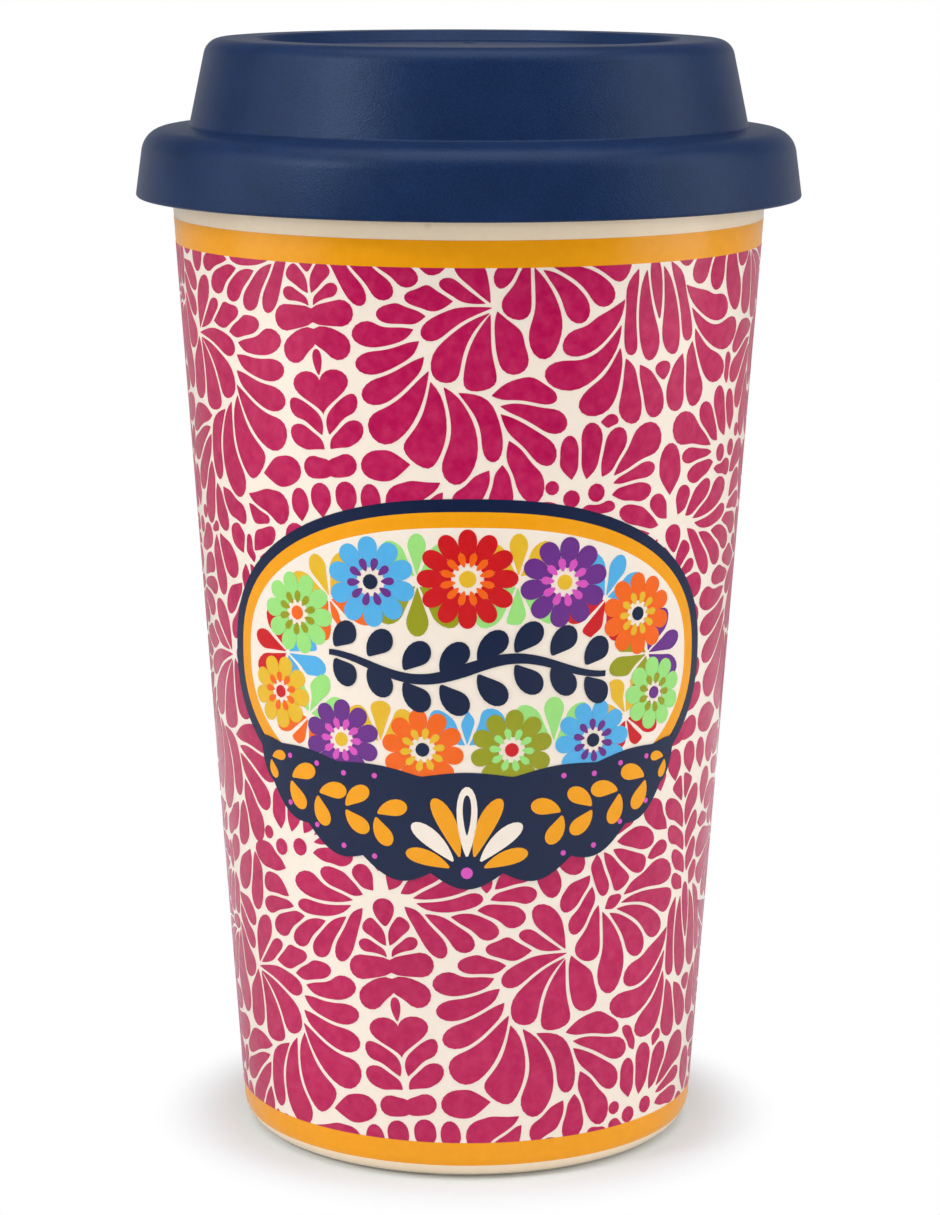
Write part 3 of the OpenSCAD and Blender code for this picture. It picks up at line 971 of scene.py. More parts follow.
# Fans of three leaves behind the daisies: root, direction in degrees, length, colours left and right
FANS = (
    (7.0, 13.2, 90, 6.4, "leaf", "gold"), (6.9, 12.4, -90, 7.6, "olive", "leaf"),
    (19.8, 9.6, 65, 6.6, "gold", "sky"), (20.0, 9.6, -115, 7.8, "orange", "red"),
    (27.2, 0.9, 16, 6.8, "red", "purple"), (27.4, 0.9, 196, 7.2, "sky", "olive"),
    (23.6, -7.6, 118, 6.8, "leaf", "gold"), (23.6, -8.0, -62, 6.0, "orange", "red"),
    (12.2, -10.6, 90, 7.2, "gold", "leaf"), (0.0, -10.8, 90, 7.4, "sky", "sky"),
)
FAN_SPREAD = (-42, 0, 42)
FAN_ROOT = 0.5
# The branch across the middle: half its length, its wave, the half widths of its stem and its leaves
SPRIG_HALF = 20.0
SPRIG_STEPS = 61
SPRIG_RISE = 0.4
SPRIG_WAVE = 1.5
STEM_END = 0.4
STEM_SWELL = 0.5
SPRIG_LEAVES = 8
SPRIG_BARE_END = 4
SPRIG_LEAN = 42
SPRIG_LEAF_ROOT = 1.2
SPRIG_LEAF_LONG = 6.8
SPRIG_LEAF_LOSS = 0.06
SPRIG_LEAF_HALF = 1.7
SPRIG_LEAF_BEND = 0.1


def branch(x):
    """Height of the sprig's stem above the medallion's centre."""
    return SPRIG_RISE + SPRIG_WAVE * np.sin(x / SPRIG_HALF * math.pi * 1.5)


def fan_leaves(medallion, wall, solids):
    """The leaves of all fans, grown to fill the spaces, each with the name of its colour."""
    leaves = []
    names = []
    for x, z, angle, long, *pair in FANS:
        for side, name in zip((-1, 1) if x else (1,), pair):
            root = np.array((side * x, medallion.middle + z))
            for spread in FAN_SPREAD:
                a = math.radians(angle + spread)
                way = np.array((side * math.cos(a), math.sin(a)))
                leaves.append(Petal(bowed(root + way * FAN_ROOT, root + way * long, 0.0), wall))
                names.append(name)
    swell(leaves, solids, wall.line)
    return [(softened(*leaf.sides()), name) for leaf, name in zip(leaves, names)]


def flower_field(colours, medallion, wall, edge):
    """Leaves round a calm middle, the daisies on top of them, and the daisies' hearts."""
    foliage = Drawing()
    flowers = Drawing()
    hearts = Drawing()
    solids = [edge, garland_edges(medallion)[0]]
    solids += [np.concatenate(sides) for sides in sprig_sides(medallion)]
    for sides, name in fan_leaves(medallion, wall, solids):
        foliage.strip(*sides, colour=tuple(getattr(colours, name)))
    for k, (x, z, radius, petals, *names) in enumerate(DAISIES):
        centre = (x, medallion.middle + z)
        tint = [tuple(getattr(colours, name)) for name in names]
        half = radius * math.sin(math.pi / petals)
        spin = DAISY_SPIN * k
        ends = [radius * share for share in DAISY_ENDS]
        petal_ring(flowers, centre, ends, DAISY_FULLNESS * half, petals, spin, 2, tint[0])
        ends = [radius * share for share in INNER_ENDS]
        petal_ring(hearts, centre, ends, INNER_FULLNESS * half, petals, spin + math.pi / petals, 1, tint[2])
        hearts.strip(*dot_sides(centre, radius * DAISY_DOT), colour=tint[1])
    return foliage, flowers, hearts


def sprig_sides(medallion):
    """Both sides of the stem and of every leaf of a branch across the calm middle."""
    x = np.linspace(-SPRIG_HALF, SPRIG_HALF, SPRIG_STEPS)
    spine = np.stack([x, medallion.middle + branch(x)], 1)
    normal = left_of(unit(np.gradient(spine, axis=0)))
    half = (STEM_END + STEM_SWELL * (1 - np.abs(x) / SPRIG_HALF))[:, None]
    strips = [(spine + normal * half, spine - normal * half)]
    for at in np.linspace(-SPRIG_HALF, SPRIG_HALF - SPRIG_BARE_END, SPRIG_LEAVES):
        base = (at, medallion.middle + branch(at))
        long = SPRIG_LEAF_LONG - SPRIG_LEAF_LOSS * abs(at)
        for up in (1, -1):
            lean = math.radians(SPRIG_LEAN * up)
            root = polar(base, SPRIG_LEAF_ROOT, lean)
            strips.append(leaf_sides(root, polar(base, long, lean), SPRIG_LEAF_HALF, SPRIG_LEAF_BEND * up))
    return strips


def navy_sprig(medallion):
    """The branch across the calm middle of the field."""
    drawing = Drawing()
    for sides in sprig_sides(medallion):
        drawing.strip(*sides)
    return drawing


# The garland: half its span, the height of its ends, its depth, and the count and height of its scallops
GARLAND_STEPS = 145
GARLAND_COLUMNS = 8
GARLAND_HALF = 29.0
GARLAND_TOP = 63.5
GARLAND_DEPTH = 17.4
LOWER_SCALLOPS = 9
LOWER_SCALLOP = 2.1
UPPER_SCALLOPS = 7
UPPER_SCALLOP = 0.9
# Leaf pairs along the garland: their count, places, direction, length and width, and the dots beside them
PAIR_COUNT = 5
FIRST_PAIR = 3.6
PAIR_STEP = 4.9
PAIR_TURN = 36
LONGEST_LEAF = 4.5
LEAF_SHARE = 0.46
LEAF_ROOT = 0.4
LEAF_FULLNESS = 0.27
LEAF_BEND = 0.1
DOT_INSET = 1.6
DOT_RADIUS = 0.4
# Bell flower: its foot, its side petals as lean in degrees, length, half width and colour, and its open petal
BELL_FOOT = (0.0, 46.4)
BELL_ROOT = 2.4
BELL_BEND = 0.05
BELL_PETALS = ((24, 11.8, 1.3, "mustard"), (48, 10.4, 1.25, "ground"), (72, 9.0, 1.15, "mustard"))
BELL_LOOPS = ((2.2, 12.6, 1.45), (5.4, 11.4, 0.6))
BELL_DOT = 0.85


def garland_edges(medallion):
    """Upper and lower edge of the garland, from its left end to its right end."""
    a = np.linspace(0, math.pi, GARLAND_STEPS)
    x = -GARLAND_HALF * np.cos(a)
    swing = np.sin(a)
    below = LOWER_SCALLOP * np.abs(np.sin(a * LOWER_SCALLOPS))
    above = UPPER_SCALLOP * np.abs(np.sin(a * UPPER_SCALLOPS))
    lower = GARLAND_TOP - (GARLAND_DEPTH + below) * swing ** 0.9
    upper = GARLAND_TOP - 1.2 * swing - 2.2 * swing ** 3 + above * swing
    return medallion.unroll(x, upper), medallion.unroll(x, lower)


def turned_by(way, angle):
    """A direction turned to the left by an angle."""
    cos = math.cos(angle)
    sin = math.sin(angle)
    return np.array((way[0] * cos - way[1] * sin, way[0] * sin + way[1] * cos))


def garland_ornament(medallion, colours):
    """Yellow leaves along the garland, pink dots and a pale bell flower in the middle."""
    drawing = Drawing()
    yellow = tuple(colours.mustard)
    cream = tuple(colours.ground)
    pink = tuple(colours.pink)
    upper, lower = garland_edges(medallion)
    spine = upper * 0.52 + lower * 0.48
    along = unit(np.gradient(spine, axis=0))
    run = np.concatenate([[0], np.cumsum(np.linalg.norm(np.diff(spine, axis=0), axis=1))])
    for k in range(PAIR_COUNT):
        for side in (1, -1):
            far = FIRST_PAIR + PAIR_STEP * k
            at = int(np.searchsorted(run, far if side > 0 else run[-1] - far))
            long = min(LONGEST_LEAF, LEAF_SHARE * np.linalg.norm(upper[at] - lower[at]))
            for up in (1, -1):
                way = turned_by(along[at] * side, math.radians(PAIR_TURN * up * side))
                root = spine[at] + way * LEAF_ROOT
                sides = leaf_sides(root, root + way * long, LEAF_FULLNESS * long, LEAF_BEND * up * side)
                drawing.strip(*sides, colour=yellow)
            for edge in (lower, upper) if k else ():
                spot = edge[at] + unit(spine[at] - edge[at]) * DOT_INSET
                drawing.strip(*dot_sides(spot, DOT_RADIUS), columns=1, colour=pink)
    foot = np.array(BELL_FOOT)
    for lean, long, half, name in BELL_PETALS:
        for side in (1, -1):
            way = np.array((side * math.sin(math.radians(lean)), math.cos(math.radians(lean))))
            sides = leaf_sides(foot + way * BELL_ROOT, foot + way * long, half, BELL_BEND * side)
            drawing.strip(*sides, colour=tuple(getattr(colours, name)))
    loops = []
    for low, high, half in BELL_LOOPS:
        left, right = leaf_sides(foot + (0, low), foot + (0, high), half)
        loops.append(np.concatenate([right, left[::-1]]))
    drawing.strip(loops[1], loops[0], columns=1, closed=True, colour=cream)
    drawing.strip(*dot_sides(foot, BELL_DOT), columns=1, colour=pink)
    return drawing


# Materials

# What a surface group puts out
SURFACE = {"Colour": "Color", "Roughness": "Float", "Height": "Float"}
# Fired colours: the property that holds the colour, the drift of its tone and the depth of its dark specks
GLAZES = {
    "Cream glaze": ("cream", 0.10, 0.10),
    "Ground glaze": ("ground", 0.08, 0.0),
    "Magenta glaze": ("magenta", 0.6, 0.0),
    "Mustard glaze": ("mustard", 0.16, 0.0),
    "Navy glaze": ("navy", 0.2, 0.0),
    "Painted glaze": (None, 0.14, 0.0),
}
GLAZE_ROUGHNESS = 0.24
GLAZE_RELIEF = {"Strength": 0.05, "Distance": 0.0004}
GLAZE_SHINE = {"IOR": 1.5, "Specular IOR Level": 0.36}
# How strongly the grain of the plug and of the lid shows in their tone
PLUG_GRAIN = 0.1
LID_GRAIN = 1.1
SILICONE_RELIEF = {"Strength": 0.45, "Distance": 0.0001}
SILICONE_SHINE = {"IOR": 1.42, "Specular IOR Level": 0.23, "Specular Tint": (0.72, 0.88, 1, 1)}
# Scale and detail of the noises
CLOUD = (70.0, 3.0)
GRAIN = (650.0, 3.0)
PEEL = (220.0, 1.0)
FINE_GRAIN = (4500.0, 2.0)
BROAD_GRAIN = (160.0, 3.0)
# Specks: their scale and the distances over which they end
PIT_SCALE = 170.0
PIT_EDGE = (0.05, 0.11)
# Heights between which painted shade darkens the glaze towards the foot, and its levels there
FOOT_SHADE_HEIGHTS = (0.01, 0.12)
FOOT_SHADE_LEVELS = (0.9, 1.0)


def surface_group(name, inputs, build):
    """A shader group with a colour and plain inputs, built when it is first asked for."""
    if name in bpy.data.node_groups:
        return bpy.data.node_groups[name]
    tree = new_group(name, "ShaderNodeTree", {"Colour": "Color", **dict.fromkeys(inputs, "Float")}, SURFACE)
    given = node(tree, "NodeGroupInput").outputs
    place = node(tree, "ShaderNodeTexCoord").outputs["Object"]
    done = node(tree, "NodeGroupOutput").inputs
    for label, result in zip(SURFACE, build(tree, given, place)):
        tree.links.new(result, done[label])
    return tree


def kiln_tone_and_foot_shade(tree, given, place):
    """The drift of colour, gloss and level of a fired glaze, with painted shade that darkens it a little
    towards the foot.
    """
    cloud = noise(tree, place, *CLOUD)
    grain = noise(tree, place, *GRAIN)
    pits = node(tree, "ShaderNodeTexVoronoi", {"Vector": place, "Scale": PIT_SCALE}).outputs["Distance"]
    speck = spread(tree, pits, PIT_EDGE, (1.0, 0.0))
    mixed = sum_of(tree, "MULTIPLY_ADD", grain, 0.7, sum_of(tree, "MULTIPLY", cloud, 0.5))
    drift = sum_of(tree, "MULTIPLY", sum_of(tree, "SUBTRACT", mixed, 0.6), given["Drift"])
    height = node(tree, "ShaderNodeSeparateXYZ", {0: place}).outputs["Z"]
    # Painted shade: the glaze's tone is darkened towards the foot
    foot_shade = spread(tree, height, FOOT_SHADE_HEIGHTS, FOOT_SHADE_LEVELS)
    level = sum_of(tree, "MULTIPLY", sum_of(tree, "ADD", drift, 1.0), foot_shade)
    dark = sum_of(tree, "MULTIPLY", speck, given["Specks"])
    value = sum_of(tree, "MULTIPLY", level, sum_of(tree, "SUBTRACT", 1.0, dark))
    fading = sum_of(tree, "MULTIPLY", given["Drift"], 0.15)
    faded = sum_of(tree, "MULTIPLY", sum_of(tree, "SUBTRACT", grain, 0.5), fading)
    shaded = node(tree, "ShaderNodeHueSaturation", {
        "Color": given["Colour"], "Value": value, "Saturation": sum_of(tree, "SUBTRACT", 1.0, faded)})
    rough = sum_of(tree, "MULTIPLY_ADD", cloud, 0.12, sum_of(tree, "SUBTRACT", given["Gloss"], 0.06))
    return shaded.outputs[0], rough, noise(tree, place, *PEEL)


def moulded_grain(tree, given, place):
    """The fine dry grain of moulded silicone."""
    fine = noise(tree, place, *FINE_GRAIN)
    both = sum_of(tree, "MULTIPLY_ADD", noise(tree, place, *BROAD_GRAIN), 0.5, fine)
    level = sum_of(tree, "MULTIPLY_ADD", sum_of(tree, "SUBTRACT", both, 0.75), given["Grain"], 1.0)
    shaded = node(tree, "ShaderNodeHueSaturation", {"Color": given["Colour"], "Value": level})
    return shaded.outputs[0], sum_of(tree, "MULTIPLY_ADD", fine, 0.2, 0.25), fine


def empty_tree(owner):
    """The node tree of a material or a world, with nothing in it."""
    owner.use_nodes = True
    owner.node_tree.nodes.clear()
    return owner.node_tree


def coated(name, group, values, relief, shine):
    """A material that takes colour, roughness and relief from a surface group."""
    if name in bpy.data.materials:
        return bpy.data.materials[name]
    made = bpy.data.materials.new(name)
    tree = empty_tree(made)
    if values["Colour"] is None:
        values["Colour"] = node(tree, "ShaderNodeAttribute", attribute_name="paint").outputs["Color"]
    surface = node(tree, "ShaderNodeGroup", values, node_tree=group).outputs
    bump = node(tree, "ShaderNodeBump", {"Height": surface["Height"], **relief})
    shader = node(tree, "ShaderNodeBsdfPrincipled", {
        "Base Color": surface["Colour"], "Roughness": surface["Roughness"],
        "Normal": bump.outputs[0], **shine})
    tree.links.new(shader.outputs[0], node(tree, "ShaderNodeOutputMaterial").inputs[0])
    return made


def glazed(name, colours):
    """A colour fired under clear glaze. The painted glaze reads each piece's own paint."""
    source, drift, specks = GLAZES[name]
    colour = (*getattr(colours, source), 1) if source else None
    values = {"Colour": colour, "Drift": drift, "Specks": specks, "Gloss": GLAZE_ROUGHNESS}
    group = surface_group("Kiln tone", ("Drift", "Specks", "Gloss"), kiln_tone_and_foot_shade)
    return coated(name, group, values, GLAZE_RELIEF, GLAZE_SHINE)


def silicone(name, colour, grain):
    """Matte moulded silicone."""
    group = surface_group("Moulded grain", ("Grain",), moulded_grain)
    return coated(name, group, {"Colour": (*colour, 1), "Grain": grain}, SILICONE_RELIEF, SILICONE_SHINE)


# Operators

class CUP_OT_shell(bpy.types.Operator):
    """Turn the outer wall with its heel and foot ring"""
    bl_idname = "cup.shell"
    bl_label = "Outer shell"

    def execute(self, context):
        scene = context.scene
        form = Form(scene)
        c = scene.cup_sizes
        soft = scene.cup_lid.soft
        outline = rounded([
            (c.vent / 2, c.recess, 0),
            (form.foot_inner, c.recess, soft),
            (form.foot_inner, 0, soft),
            (form.base, 0, c.heel),
            (form.wall(form.seam), form.seam, 0),
            (form.wall(form.seam) - c.shell, form.seam, 0),
            (form.wall(form.shell_floor) - c.shell, form.shell_floor, c.heel),
            (c.vent / 2, form.shell_floor, 0)])
        cream = glazed("Cream glaze", scene.cup_colours)
        dress(turned("glazed_shell", outline, cream), "cup", "glazed_ceramic", "outer_shell")
        return {"FINISHED"}


class CUP_OT_liner(bpy.types.Operator):
    """Turn the inner cup with the lip that covers the shell"""
    bl_idname = "cup.liner"
    bl_label = "Inner liner"

    def execute(self, context):
        scene = context.scene
        form = Form(scene)
        c = scene.cup_sizes
        under = form.floor_top - c.floor
        outline = rounded([
            (0, under, 0),
            (form.liner(under) + c.liner, under, c.floor_round + c.liner),
            (form.liner(form.seam) + c.liner, form.seam, 0),
            (form.wall(form.seam), form.seam, 0),
            (form.rim, c.height, c.lip_round),
            (form.mouth, c.height, c.lip_round),
            (form.floor_radius, form.floor_top, c.floor_round),
            (0, form.floor_top, 0)])
        cream = glazed("Cream glaze", scene.cup_colours)
        dress(turned("glazed_liner", outline, cream), "cup", "glazed_ceramic", "inner_liner")
        return {"FINISHED"}


class CUP_OT_plug(bpy.types.Operator):
    """Give the vent plug its silicone"""
    bl_idname = "cup.plug"
    bl_label = "Vent plug"

    def execute(self, context):
        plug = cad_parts["vent_plug"]
        plug.data.materials.clear()
        plug.data.materials.append(silicone("Pale silicone", context.scene.cup_colours.plug, PLUG_GRAIN))
        return {"FINISHED"}


class CUP_OT_bands(bpy.types.Operator):
    """Turn the two fired bands"""
    bl_idname = "cup.bands"
    bl_label = "Bands"

    def execute(self, context):
        scene = context.scene
        form = Form(scene)
        p = scene.cup_prints
        mustard = glazed("Mustard glaze", scene.cup_colours)
        for node_name, low, high in (("upper_band", form.field_top, form.upper_top),
                                     ("lower_band", p.lower_rise, form.field_low)):
            inner = form.skin(low, high, -SINK * MM)
            outer = form.skin(low, high, p.lift)
            band = turned("fired_" + node_name, inner + outer[::-1], mustard)
            dress(band, "cup", "mustard_enamel", node_name)
        return {"FINISHED"}


class CUP_OT_petals(bpy.types.Operator):
    """Print the petals on the wall"""
    bl_idname = "cup.petals"
    bl_label = "Petals"

    def execute(self, context):
        scene = context.scene
        form = Form(scene)
        p = scene.cup_prints
        medallion = Medallion(form, p)
        wall = Wall(form, p.line, p.tilt)
        ground = glazed("Ground glaze", scene.cup_colours)
        inner = form.skin(form.field_low, form.field_top, -SINK * MM)
        outer = form.skin(form.field_low, form.field_top, p.lift / 2)
        dress(turned("petal_ground", inner + outer[::-1], ground), "cup", "cream_enamel", "petal_print")
        drawing = Drawing()
        for left, right in petal_outlines(wall, medallion.covers):
            wide = np.linalg.norm(left - right, axis=1).max() > WIDE_PETAL
            drawing.strip(left, right, columns=2 if wide else 1)
        magenta = glazed("Magenta glaze", scene.cup_colours)
        field = (form.field_low, form.field_top)
        wrapped("petals", drawing, form, PETAL_LEVEL, p.lift, magenta, "magenta_enamel", trim=field)
        return {"FINISHED"}


class CUP_OT_medallion(bpy.types.Operator):
    """Print the medallion's frame and its flower field"""
    bl_idname = "cup.medallion"
    bl_label = "Medallion"

    def execute(self, context):
        scene = context.scene
        form = Form(scene)
        p = scene.cup_prints
        colours = scene.cup_colours
        medallion = Medallion(form, p)
        navy = glazed("Navy glaze", colours)
        mustard = glazed("Mustard glaze", colours)
        cream = glazed("Ground glaze", colours)
        painted = glazed("Painted glaze", colours)
        border = p.border / MM
        inner = border + p.band / MM
        for name, outside, inside, finish, slot_name, node_name in (
                ("oval_border", 0, border, navy, "navy_enamel", "medallion_border"),
                ("oval_band", border, inner, mustard, "mustard_enamel", "medallion_band")):
            drawing = Drawing()
            drawing.strip(medallion.oval(inside), medallion.oval(outside), closed=True)
            wrapped(name, drawing, form, OVAL_LEVEL, p.lift, finish, slot_name, node_name)
        ground = Drawing()
        edge = medallion.oval(inner)
        ground.plate(edge, np.array((0, medallion.middle)), FIELD_RINGS)
        wrapped("oval_field", ground, form, OVAL_LEVEL, p.lift, cream, "cream_enamel", "medallion_field")
        layers = flower_field(colours, medallion, Wall(form, p.line, p.tilt), edge)
        names = ("oval_foliage", "oval_flowers", "oval_hearts")
        for level, (name, drawing) in enumerate(zip(names, layers), FOLIAGE_LEVEL):
            wrapped(name, drawing, form, level, p.lift, painted, "cream_enamel")
        wrapped("oval_sprig", navy_sprig(medallion), form, SPRIG_LEVEL, p.lift, navy, "navy_enamel")
        return {"FINISHED"}


class CUP_OT_garland(bpy.types.Operator):
    """Print the garland under the medallion"""
    bl_idname = "cup.garland"
    bl_label = "Garland"

    def execute(self, context):
        scene = context.scene
        form = Form(scene)
        p = scene.cup_prints
        colours = scene.cup_colours
        medallion = Medallion(form, p)
        navy = glazed("Navy glaze", colours)
        painted = glazed("Painted glaze", colours)
        upper, lower = garland_edges(medallion)
        body = Drawing()
        body.strip(upper, lower, columns=GARLAND_COLUMNS)
        wrapped("garland", body, form, GARLAND_LEVEL, p.lift, navy, "navy_enamel", "medallion_garland")
        leaves = garland_ornament(medallion, colours)
        wrapped("garland_leaves", leaves, form, ORNAMENT_LEVEL, p.lift, painted, "mustard_enamel")
        return {"FINISHED"}


class CUP_OT_lid(bpy.types.Operator):
    """Turn the silicone lid and cut its sip slot and air hole"""
    bl_idname = "cup.lid"
    bl_label = "Lid"

    def execute(self, context):
        scene = context.scene
        form = Form(scene)
        c = scene.cup_sizes
        d = scene.cup_lid
        roof = c.height + d.seat
        shoulder = roof + d.web
        edge = (form.rim + d.skirt_room + d.skirt, shoulder - d.fall)
        outer = edge[0] + d.flare
        low = c.height - d.skirt_drop
        slope = d.flare / (edge[1] - low)
        top = shoulder + d.crown_height
        crown_foot = form.rim - d.crown_inset
        crown_top = crown_foot - d.crown_lean
        dish_top = crown_top - d.ring
        dish_foot = dish_top - d.dish_slope
        dish = top - d.dish
        seal_low = c.height - d.seal
        seal_inner = form.liner(seal_low) - d.seal_room - d.seal_wall

        def skirt_inside(z):
            return outer - d.skirt - slope * (z - low)

        def seal_face(z):
            return form.liner(z) - d.seal_room

        def crown_inside(z):
            return crown_foot - d.crown - d.crown_lean * (z - shoulder) / d.crown_height

        def bead(z, face, crest):
            third = d.rib / 3
            return [(face(z), z, 0), (crest, z - third, d.fine), (crest, z - 2 * third, d.fine),
                    (face(z - d.rib), z - d.rib, 0)]

        first = c.height - d.rib_drop
        second = first - d.rib_step
        outline = rounded([
            (0, dish, 0),
            (dish_foot, dish, d.dish_round),
            (dish_top, top, d.dish_round),
            (crown_top, top, d.crown_round),
            (crown_foot, shoulder, d.fine),
            (edge[0], edge[1], d.shoulder_round),
            (outer, low, d.fine),
            (outer - d.skirt, low, d.soft),
            *bead(first, skirt_inside, form.rim + d.seat)[::-1],
            (skirt_inside(roof), roof, d.soft),
            (seal_face(roof), roof, d.soft),
            *bead(first, seal_face, form.liner(first - d.rib) - d.seat),
            *bead(second, seal_face, form.liner(second - d.rib) - d.seat),
            (seal_face(seal_low), seal_low, d.soft),
            (seal_inner, seal_low, d.soft),
            (seal_inner, shoulder, d.soft),
            (crown_inside(shoulder), shoulder, d.soft),
            (crown_inside(top - d.crown), top - d.crown, d.soft),
            (dish_top, top - d.crown, d.soft),
            (dish_foot, dish - d.crown, d.soft),
            (0, dish - d.crown, 0)])
        finish = silicone("Navy silicone", scene.cup_colours.silicone, LID_GRAIN)
        lid = turned("silicone_lid", outline, finish)
        hole_y = dish_foot - d.slot_inset - d.slot_length / 2
        middle = dish - d.crown / 2
        reach = (d.slot_width - d.slot_length) / 2
        pierce(lid, (0, -hole_y, middle), reach, d.slot_length / 2, d.crown)
        pierce(lid, (0, hole_y, middle), 0, d.air_hole / 2, d.crown)
        dress(lid, "lid", "lid_silicone", "lid")
        return {"FINISHED"}


HOLE_STEPS = 24


def pierce(piece, centre, reach, radius, depth):
    """Cuts an upright hole with round ends through a piece."""
    work = bmesh.new()
    ring = []
    for k in range(2 * HOLE_STEPS):
        side = 1 if k < HOLE_STEPS else -1
        swing = math.pi * (k % HOLE_STEPS) / (HOLE_STEPS - 1)
        a = (swing if side > 0 else swing + math.pi) - math.pi / 2
        ring.append(work.verts.new((centre[0] + side * reach + radius * math.cos(a),
                                    centre[1] + radius * math.sin(a), centre[2] - depth)))
    if reach == 0:
        bmesh.ops.remove_doubles(work, verts=work.verts, dist=MERGE)
        ring = list(work.verts)
    face = work.faces.new(ring)
    top = bmesh.ops.extrude_face_region(work, geom=[face])
    lifted = [item for item in top["geom"] if isinstance(item, bmesh.types.BMVert)]
    bmesh.ops.translate(work, vec=(0, 0, 2 * depth), verts=lifted)
    bmesh.ops.recalc_face_normals(work, faces=work.faces)
    mesh = bpy.data.meshes.new("cutter")
    work.to_mesh(mesh)
    work.free()
    cutter = new_object("cutter", mesh)
    cut = piece.modifiers.new("Cut", "BOOLEAN")
    cut.operation = "DIFFERENCE"
    cut.solver = "EXACT"
    cut.object = cutter
    make_plain(piece)
    bpy.data.objects.remove(cutter)
    bpy.data.meshes.remove(mesh)


# Stage

PHOTO_HEIGHT = 1215
FOCAL_PIXELS = 3682
SENSOR = 36.0
CAMERA_PLACE = (0.00034, -0.5342, 0.1795)
CAMERA_PITCH = math.radians(90 - 10.85)
CAMERA_ROLL = math.radians(0.16)
# Lamps: name, place, height of the point it faces, width, height, watts, colour and the rays that pass it by
LAMPS = (
    ("left_box", (-0.66, -0.16, 0.34), 0.10, 0.60, 0.80, 2.5, (1, 1, 1), None),
    ("right_box", (0.68, -0.10, 0.34), 0.10, 0.60, 0.80, 3.2, (1, 1, 1), None),
    ("top_box", (0.0, -0.10, 0.85), 0.1, 0.9, 0.7, 4.4, (1, 1, 1), None),
    ("key_box", (-0.62, -0.45, 0.60), 0.14, 0.16, 0.16, 1.4, (1, 1, 1), None),
    ("front_fill", (0.05, -0.90, 0.22), 0.12, 0.8, 0.25, 2.5, (1, 1, 1), "visible_glossy"),
    ("crown_spot", (-0.57, -0.42, 0.41), 0.155, 0.16, 0.16, 1.0, (0.7, 0.8, 1), "visible_diffuse"),
)
WHITE = (1, 1, 1, 1)
FLOOR_COLOUR = (0.77, 0.82, 0.85, 1)
FLOOR_REACH = 0.25
# Distances from the cup's axis over which the floor goes white for the camera and pale in reflections
CAMERA_FADE = (0.031, 0.048)
MIRROR_FADE = (0.15, 0.25)
MIRROR_FLOOR = 0.6
# Strength of the world's light, and where behind the cup and how far it is white in reflections
SOFT_LIGHT = 0.16
BACK_SLOPE = -2.5
BACK_FADE = (0.1, 0.6)
MIRROR_BACK = 0.4


def white_for(tree, camera_share, mirror_share, plain, white):
    """Mixes a plain shader with a white one, by what the camera sees and what shows in reflections."""
    path = node(tree, "ShaderNodeLightPath").outputs
    gloss = sum_of(tree, "MAXIMUM", path["Is Glossy Ray"], path["Is Transmission Ray"])
    seen = sum_of(tree, "MAXIMUM", sum_of(tree, "MULTIPLY", path["Is Camera Ray"], camera_share),
                  sum_of(tree, "MULTIPLY", gloss, mirror_share))
    mix = node(tree, "ShaderNodeMixShader", {0: seen, 1: plain.outputs[0], 2: white.outputs[0]})
    return mix.outputs[0]


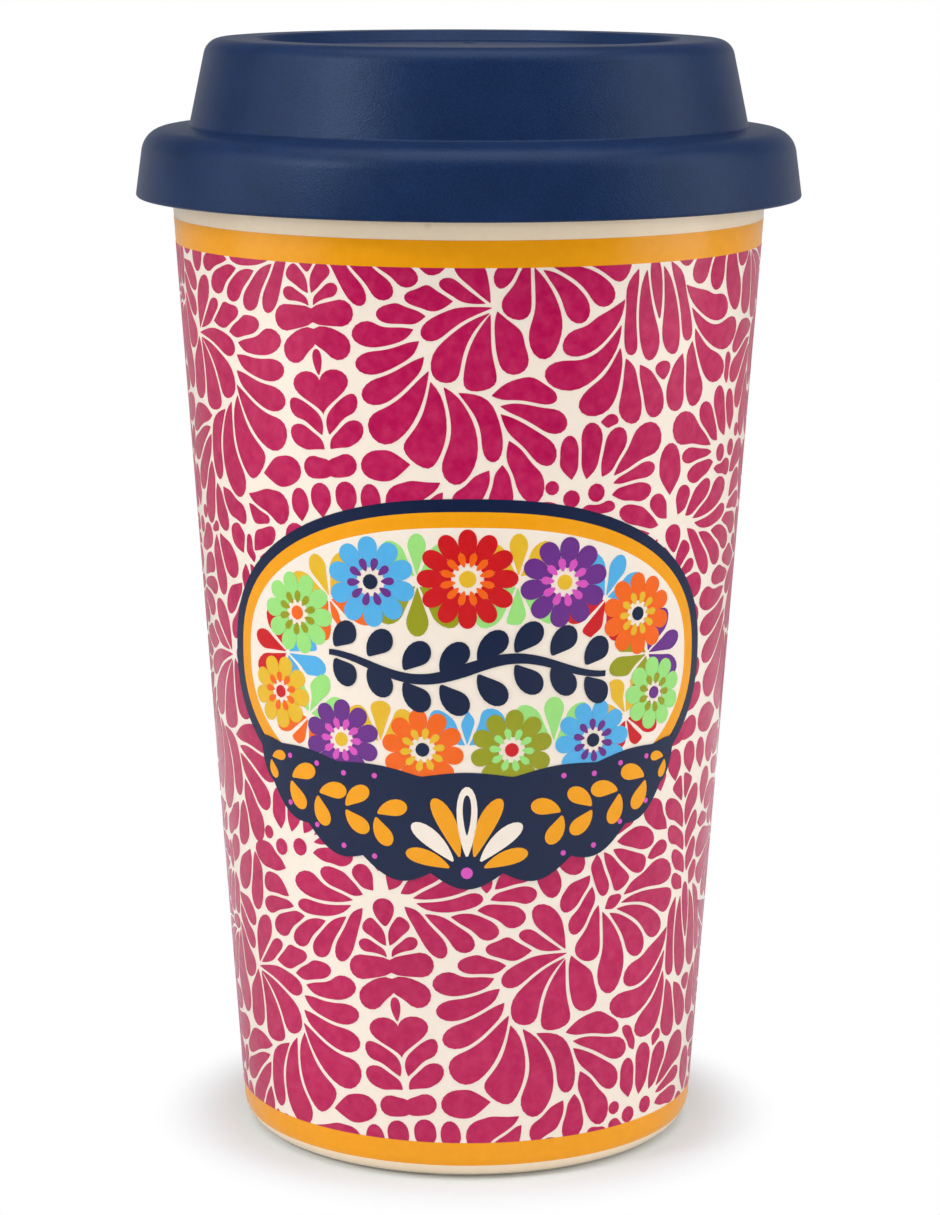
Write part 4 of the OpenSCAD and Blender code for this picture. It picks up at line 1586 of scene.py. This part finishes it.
class CUP_OT_stage(bpy.types.Operator):
    """Set the floor, lamps, world and camera"""
    bl_idname = "cup.stage"
    bl_label = "Stage"

    def execute(self, context):
        scene = context.scene
        scene.view_settings.view_transform = "Standard"
        self.add_floor()
        self.add_world(scene)
        for lamp in LAMPS:
            self.add_lamp(*lamp)
        self.add_camera(scene)
        return {"FINISHED"}

    def add_lamp(self, name, place, aim, width, height, watts, colour, unseen):
        """A soft rectangular lamp that faces a point on the cup's axis."""
        data = bpy.data.lights.new(name, "AREA")
        data.shape = "RECTANGLE"
        data.size = width
        data.size_y = height
        data.energy = watts
        data.color = colour
        lamp = new_object(name, data)
        yaw = math.atan2(-place[1], -place[0])
        pitch = math.atan2(aim - place[2], math.hypot(place[0], place[1]))
        lamp.matrix_world = (Matrix.Translation(place) @ Matrix.Rotation(yaw - math.pi / 2, 4, "Z")
                             @ Matrix.Rotation(math.pi / 2 + pitch, 4, "X"))
        if unseen:
            setattr(lamp, unseen, False)

    def add_floor(self):
        """A pale floor that keeps the shadow near the cup."""
        mesh = bpy.data.meshes.new("floor")
        corners = ((-1, -1), (1, -1), (1, 1), (-1, 1))
        mesh.from_pydata([(x * FLOOR_REACH, y * FLOOR_REACH, 0) for x, y in corners], [], [(0, 1, 2, 3)])
        floor = new_object("floor", mesh)
        made = bpy.data.materials.new("Pale floor")
        tree = empty_tree(made)
        place = node(tree, "ShaderNodeTexCoord").outputs["Object"]
        far = node(tree, "ShaderNodeVectorMath", {0: place}, operation="LENGTH").outputs["Value"]
        near = spread(tree, far, CAMERA_FADE, (0.0, 1.0), interpolation_type="SMOOTHSTEP")
        wide = spread(tree, far, MIRROR_FADE, (0.0, MIRROR_FLOOR))
        matte = node(tree, "ShaderNodeBsdfDiffuse", {"Color": FLOOR_COLOUR})
        white = node(tree, "ShaderNodeEmission", {"Color": WHITE, "Strength": 1.0})
        look = white_for(tree, near, wide, matte, white)
        tree.links.new(look, node(tree, "ShaderNodeOutputMaterial").inputs[0])
        mesh.materials.append(made)

    def add_world(self, scene):
        """Soft light all round, and a white background."""
        world = bpy.data.worlds.new("Studio")
        scene.world = world
        tree = empty_tree(world)
        way = node(tree, "ShaderNodeTexCoord").outputs["Generated"]
        side = node(tree, "ShaderNodeSeparateXYZ", {0: way}).outputs
        behind = sum_of(tree, "MULTIPLY_ADD", side["Z"], BACK_SLOPE, side["Y"])
        back = spread(tree, behind, BACK_FADE, (0.0, MIRROR_BACK))
        soft = node(tree, "ShaderNodeBackground", {"Color": WHITE, "Strength": SOFT_LIGHT})
        white = node(tree, "ShaderNodeBackground", {"Color": WHITE, "Strength": 1.0})
        look = white_for(tree, 1.0, back, soft, white)
        tree.links.new(look, node(tree, "ShaderNodeOutputWorld").inputs[0])

    def add_camera(self, scene):
        """The camera, fitted to the photograph's edges."""
        data = bpy.data.cameras.new("camera")
        data.sensor_width = SENSOR
        data.lens = FOCAL_PIXELS / PHOTO_HEIGHT * SENSOR
        camera = new_object("camera", data)
        camera.matrix_world = (Matrix.Translation(CAMERA_PLACE) @ Matrix.Rotation(CAMERA_PITCH, 4, "X")
                               @ Matrix.Rotation(CAMERA_ROLL, 4, "Z"))
        scene.camera = camera


class CUP_PT_panel(bpy.types.Panel):
    """Lists the cup's pieces"""
    bl_idname = "CUP_PT_panel"
    bl_label = "Lidded travel cup"
    bl_space_type = "VIEW_3D"
    bl_region_type = "UI"
    bl_category = "Cup"

    def draw(self, context):
        for made in MAKERS:
            self.layout.operator(made.bl_idname)


GROUPS = (
    ("cup_sizes", CupSizes), ("cup_prints", PrintSizes), ("cup_lid", LidSizes), ("cup_colours", CupColours),
)
MAKERS = (
    CUP_OT_stage, CUP_OT_shell, CUP_OT_liner, CUP_OT_plug, CUP_OT_bands, CUP_OT_petals, CUP_OT_medallion,
    CUP_OT_garland, CUP_OT_lid,
)


def register():
    for name, group in GROUPS:
        bpy.utils.register_class(group)
        setattr(bpy.types.Scene, name, bpy.props.PointerProperty(type=group))
    for made in (*MAKERS, CUP_PT_panel):
        bpy.utils.register_class(made)


def unregister():
    for made in (CUP_PT_panel, *reversed(MAKERS)):
        bpy.utils.unregister_class(made)
    for name, group in reversed(GROUPS):
        delattr(bpy.types.Scene, name)
        bpy.utils.unregister_class(group)


def main():
    register()
    bpy.ops.cup.stage()
    bpy.ops.cup.shell()
    bpy.ops.cup.liner()
    bpy.ops.cup.plug()
    bpy.ops.cup.bands()
    bpy.ops.cup.petals()
    bpy.ops.cup.medallion()
    bpy.ops.cup.garland()
    bpy.ops.cup.lid()


if __name__ == "__main__":
    main()
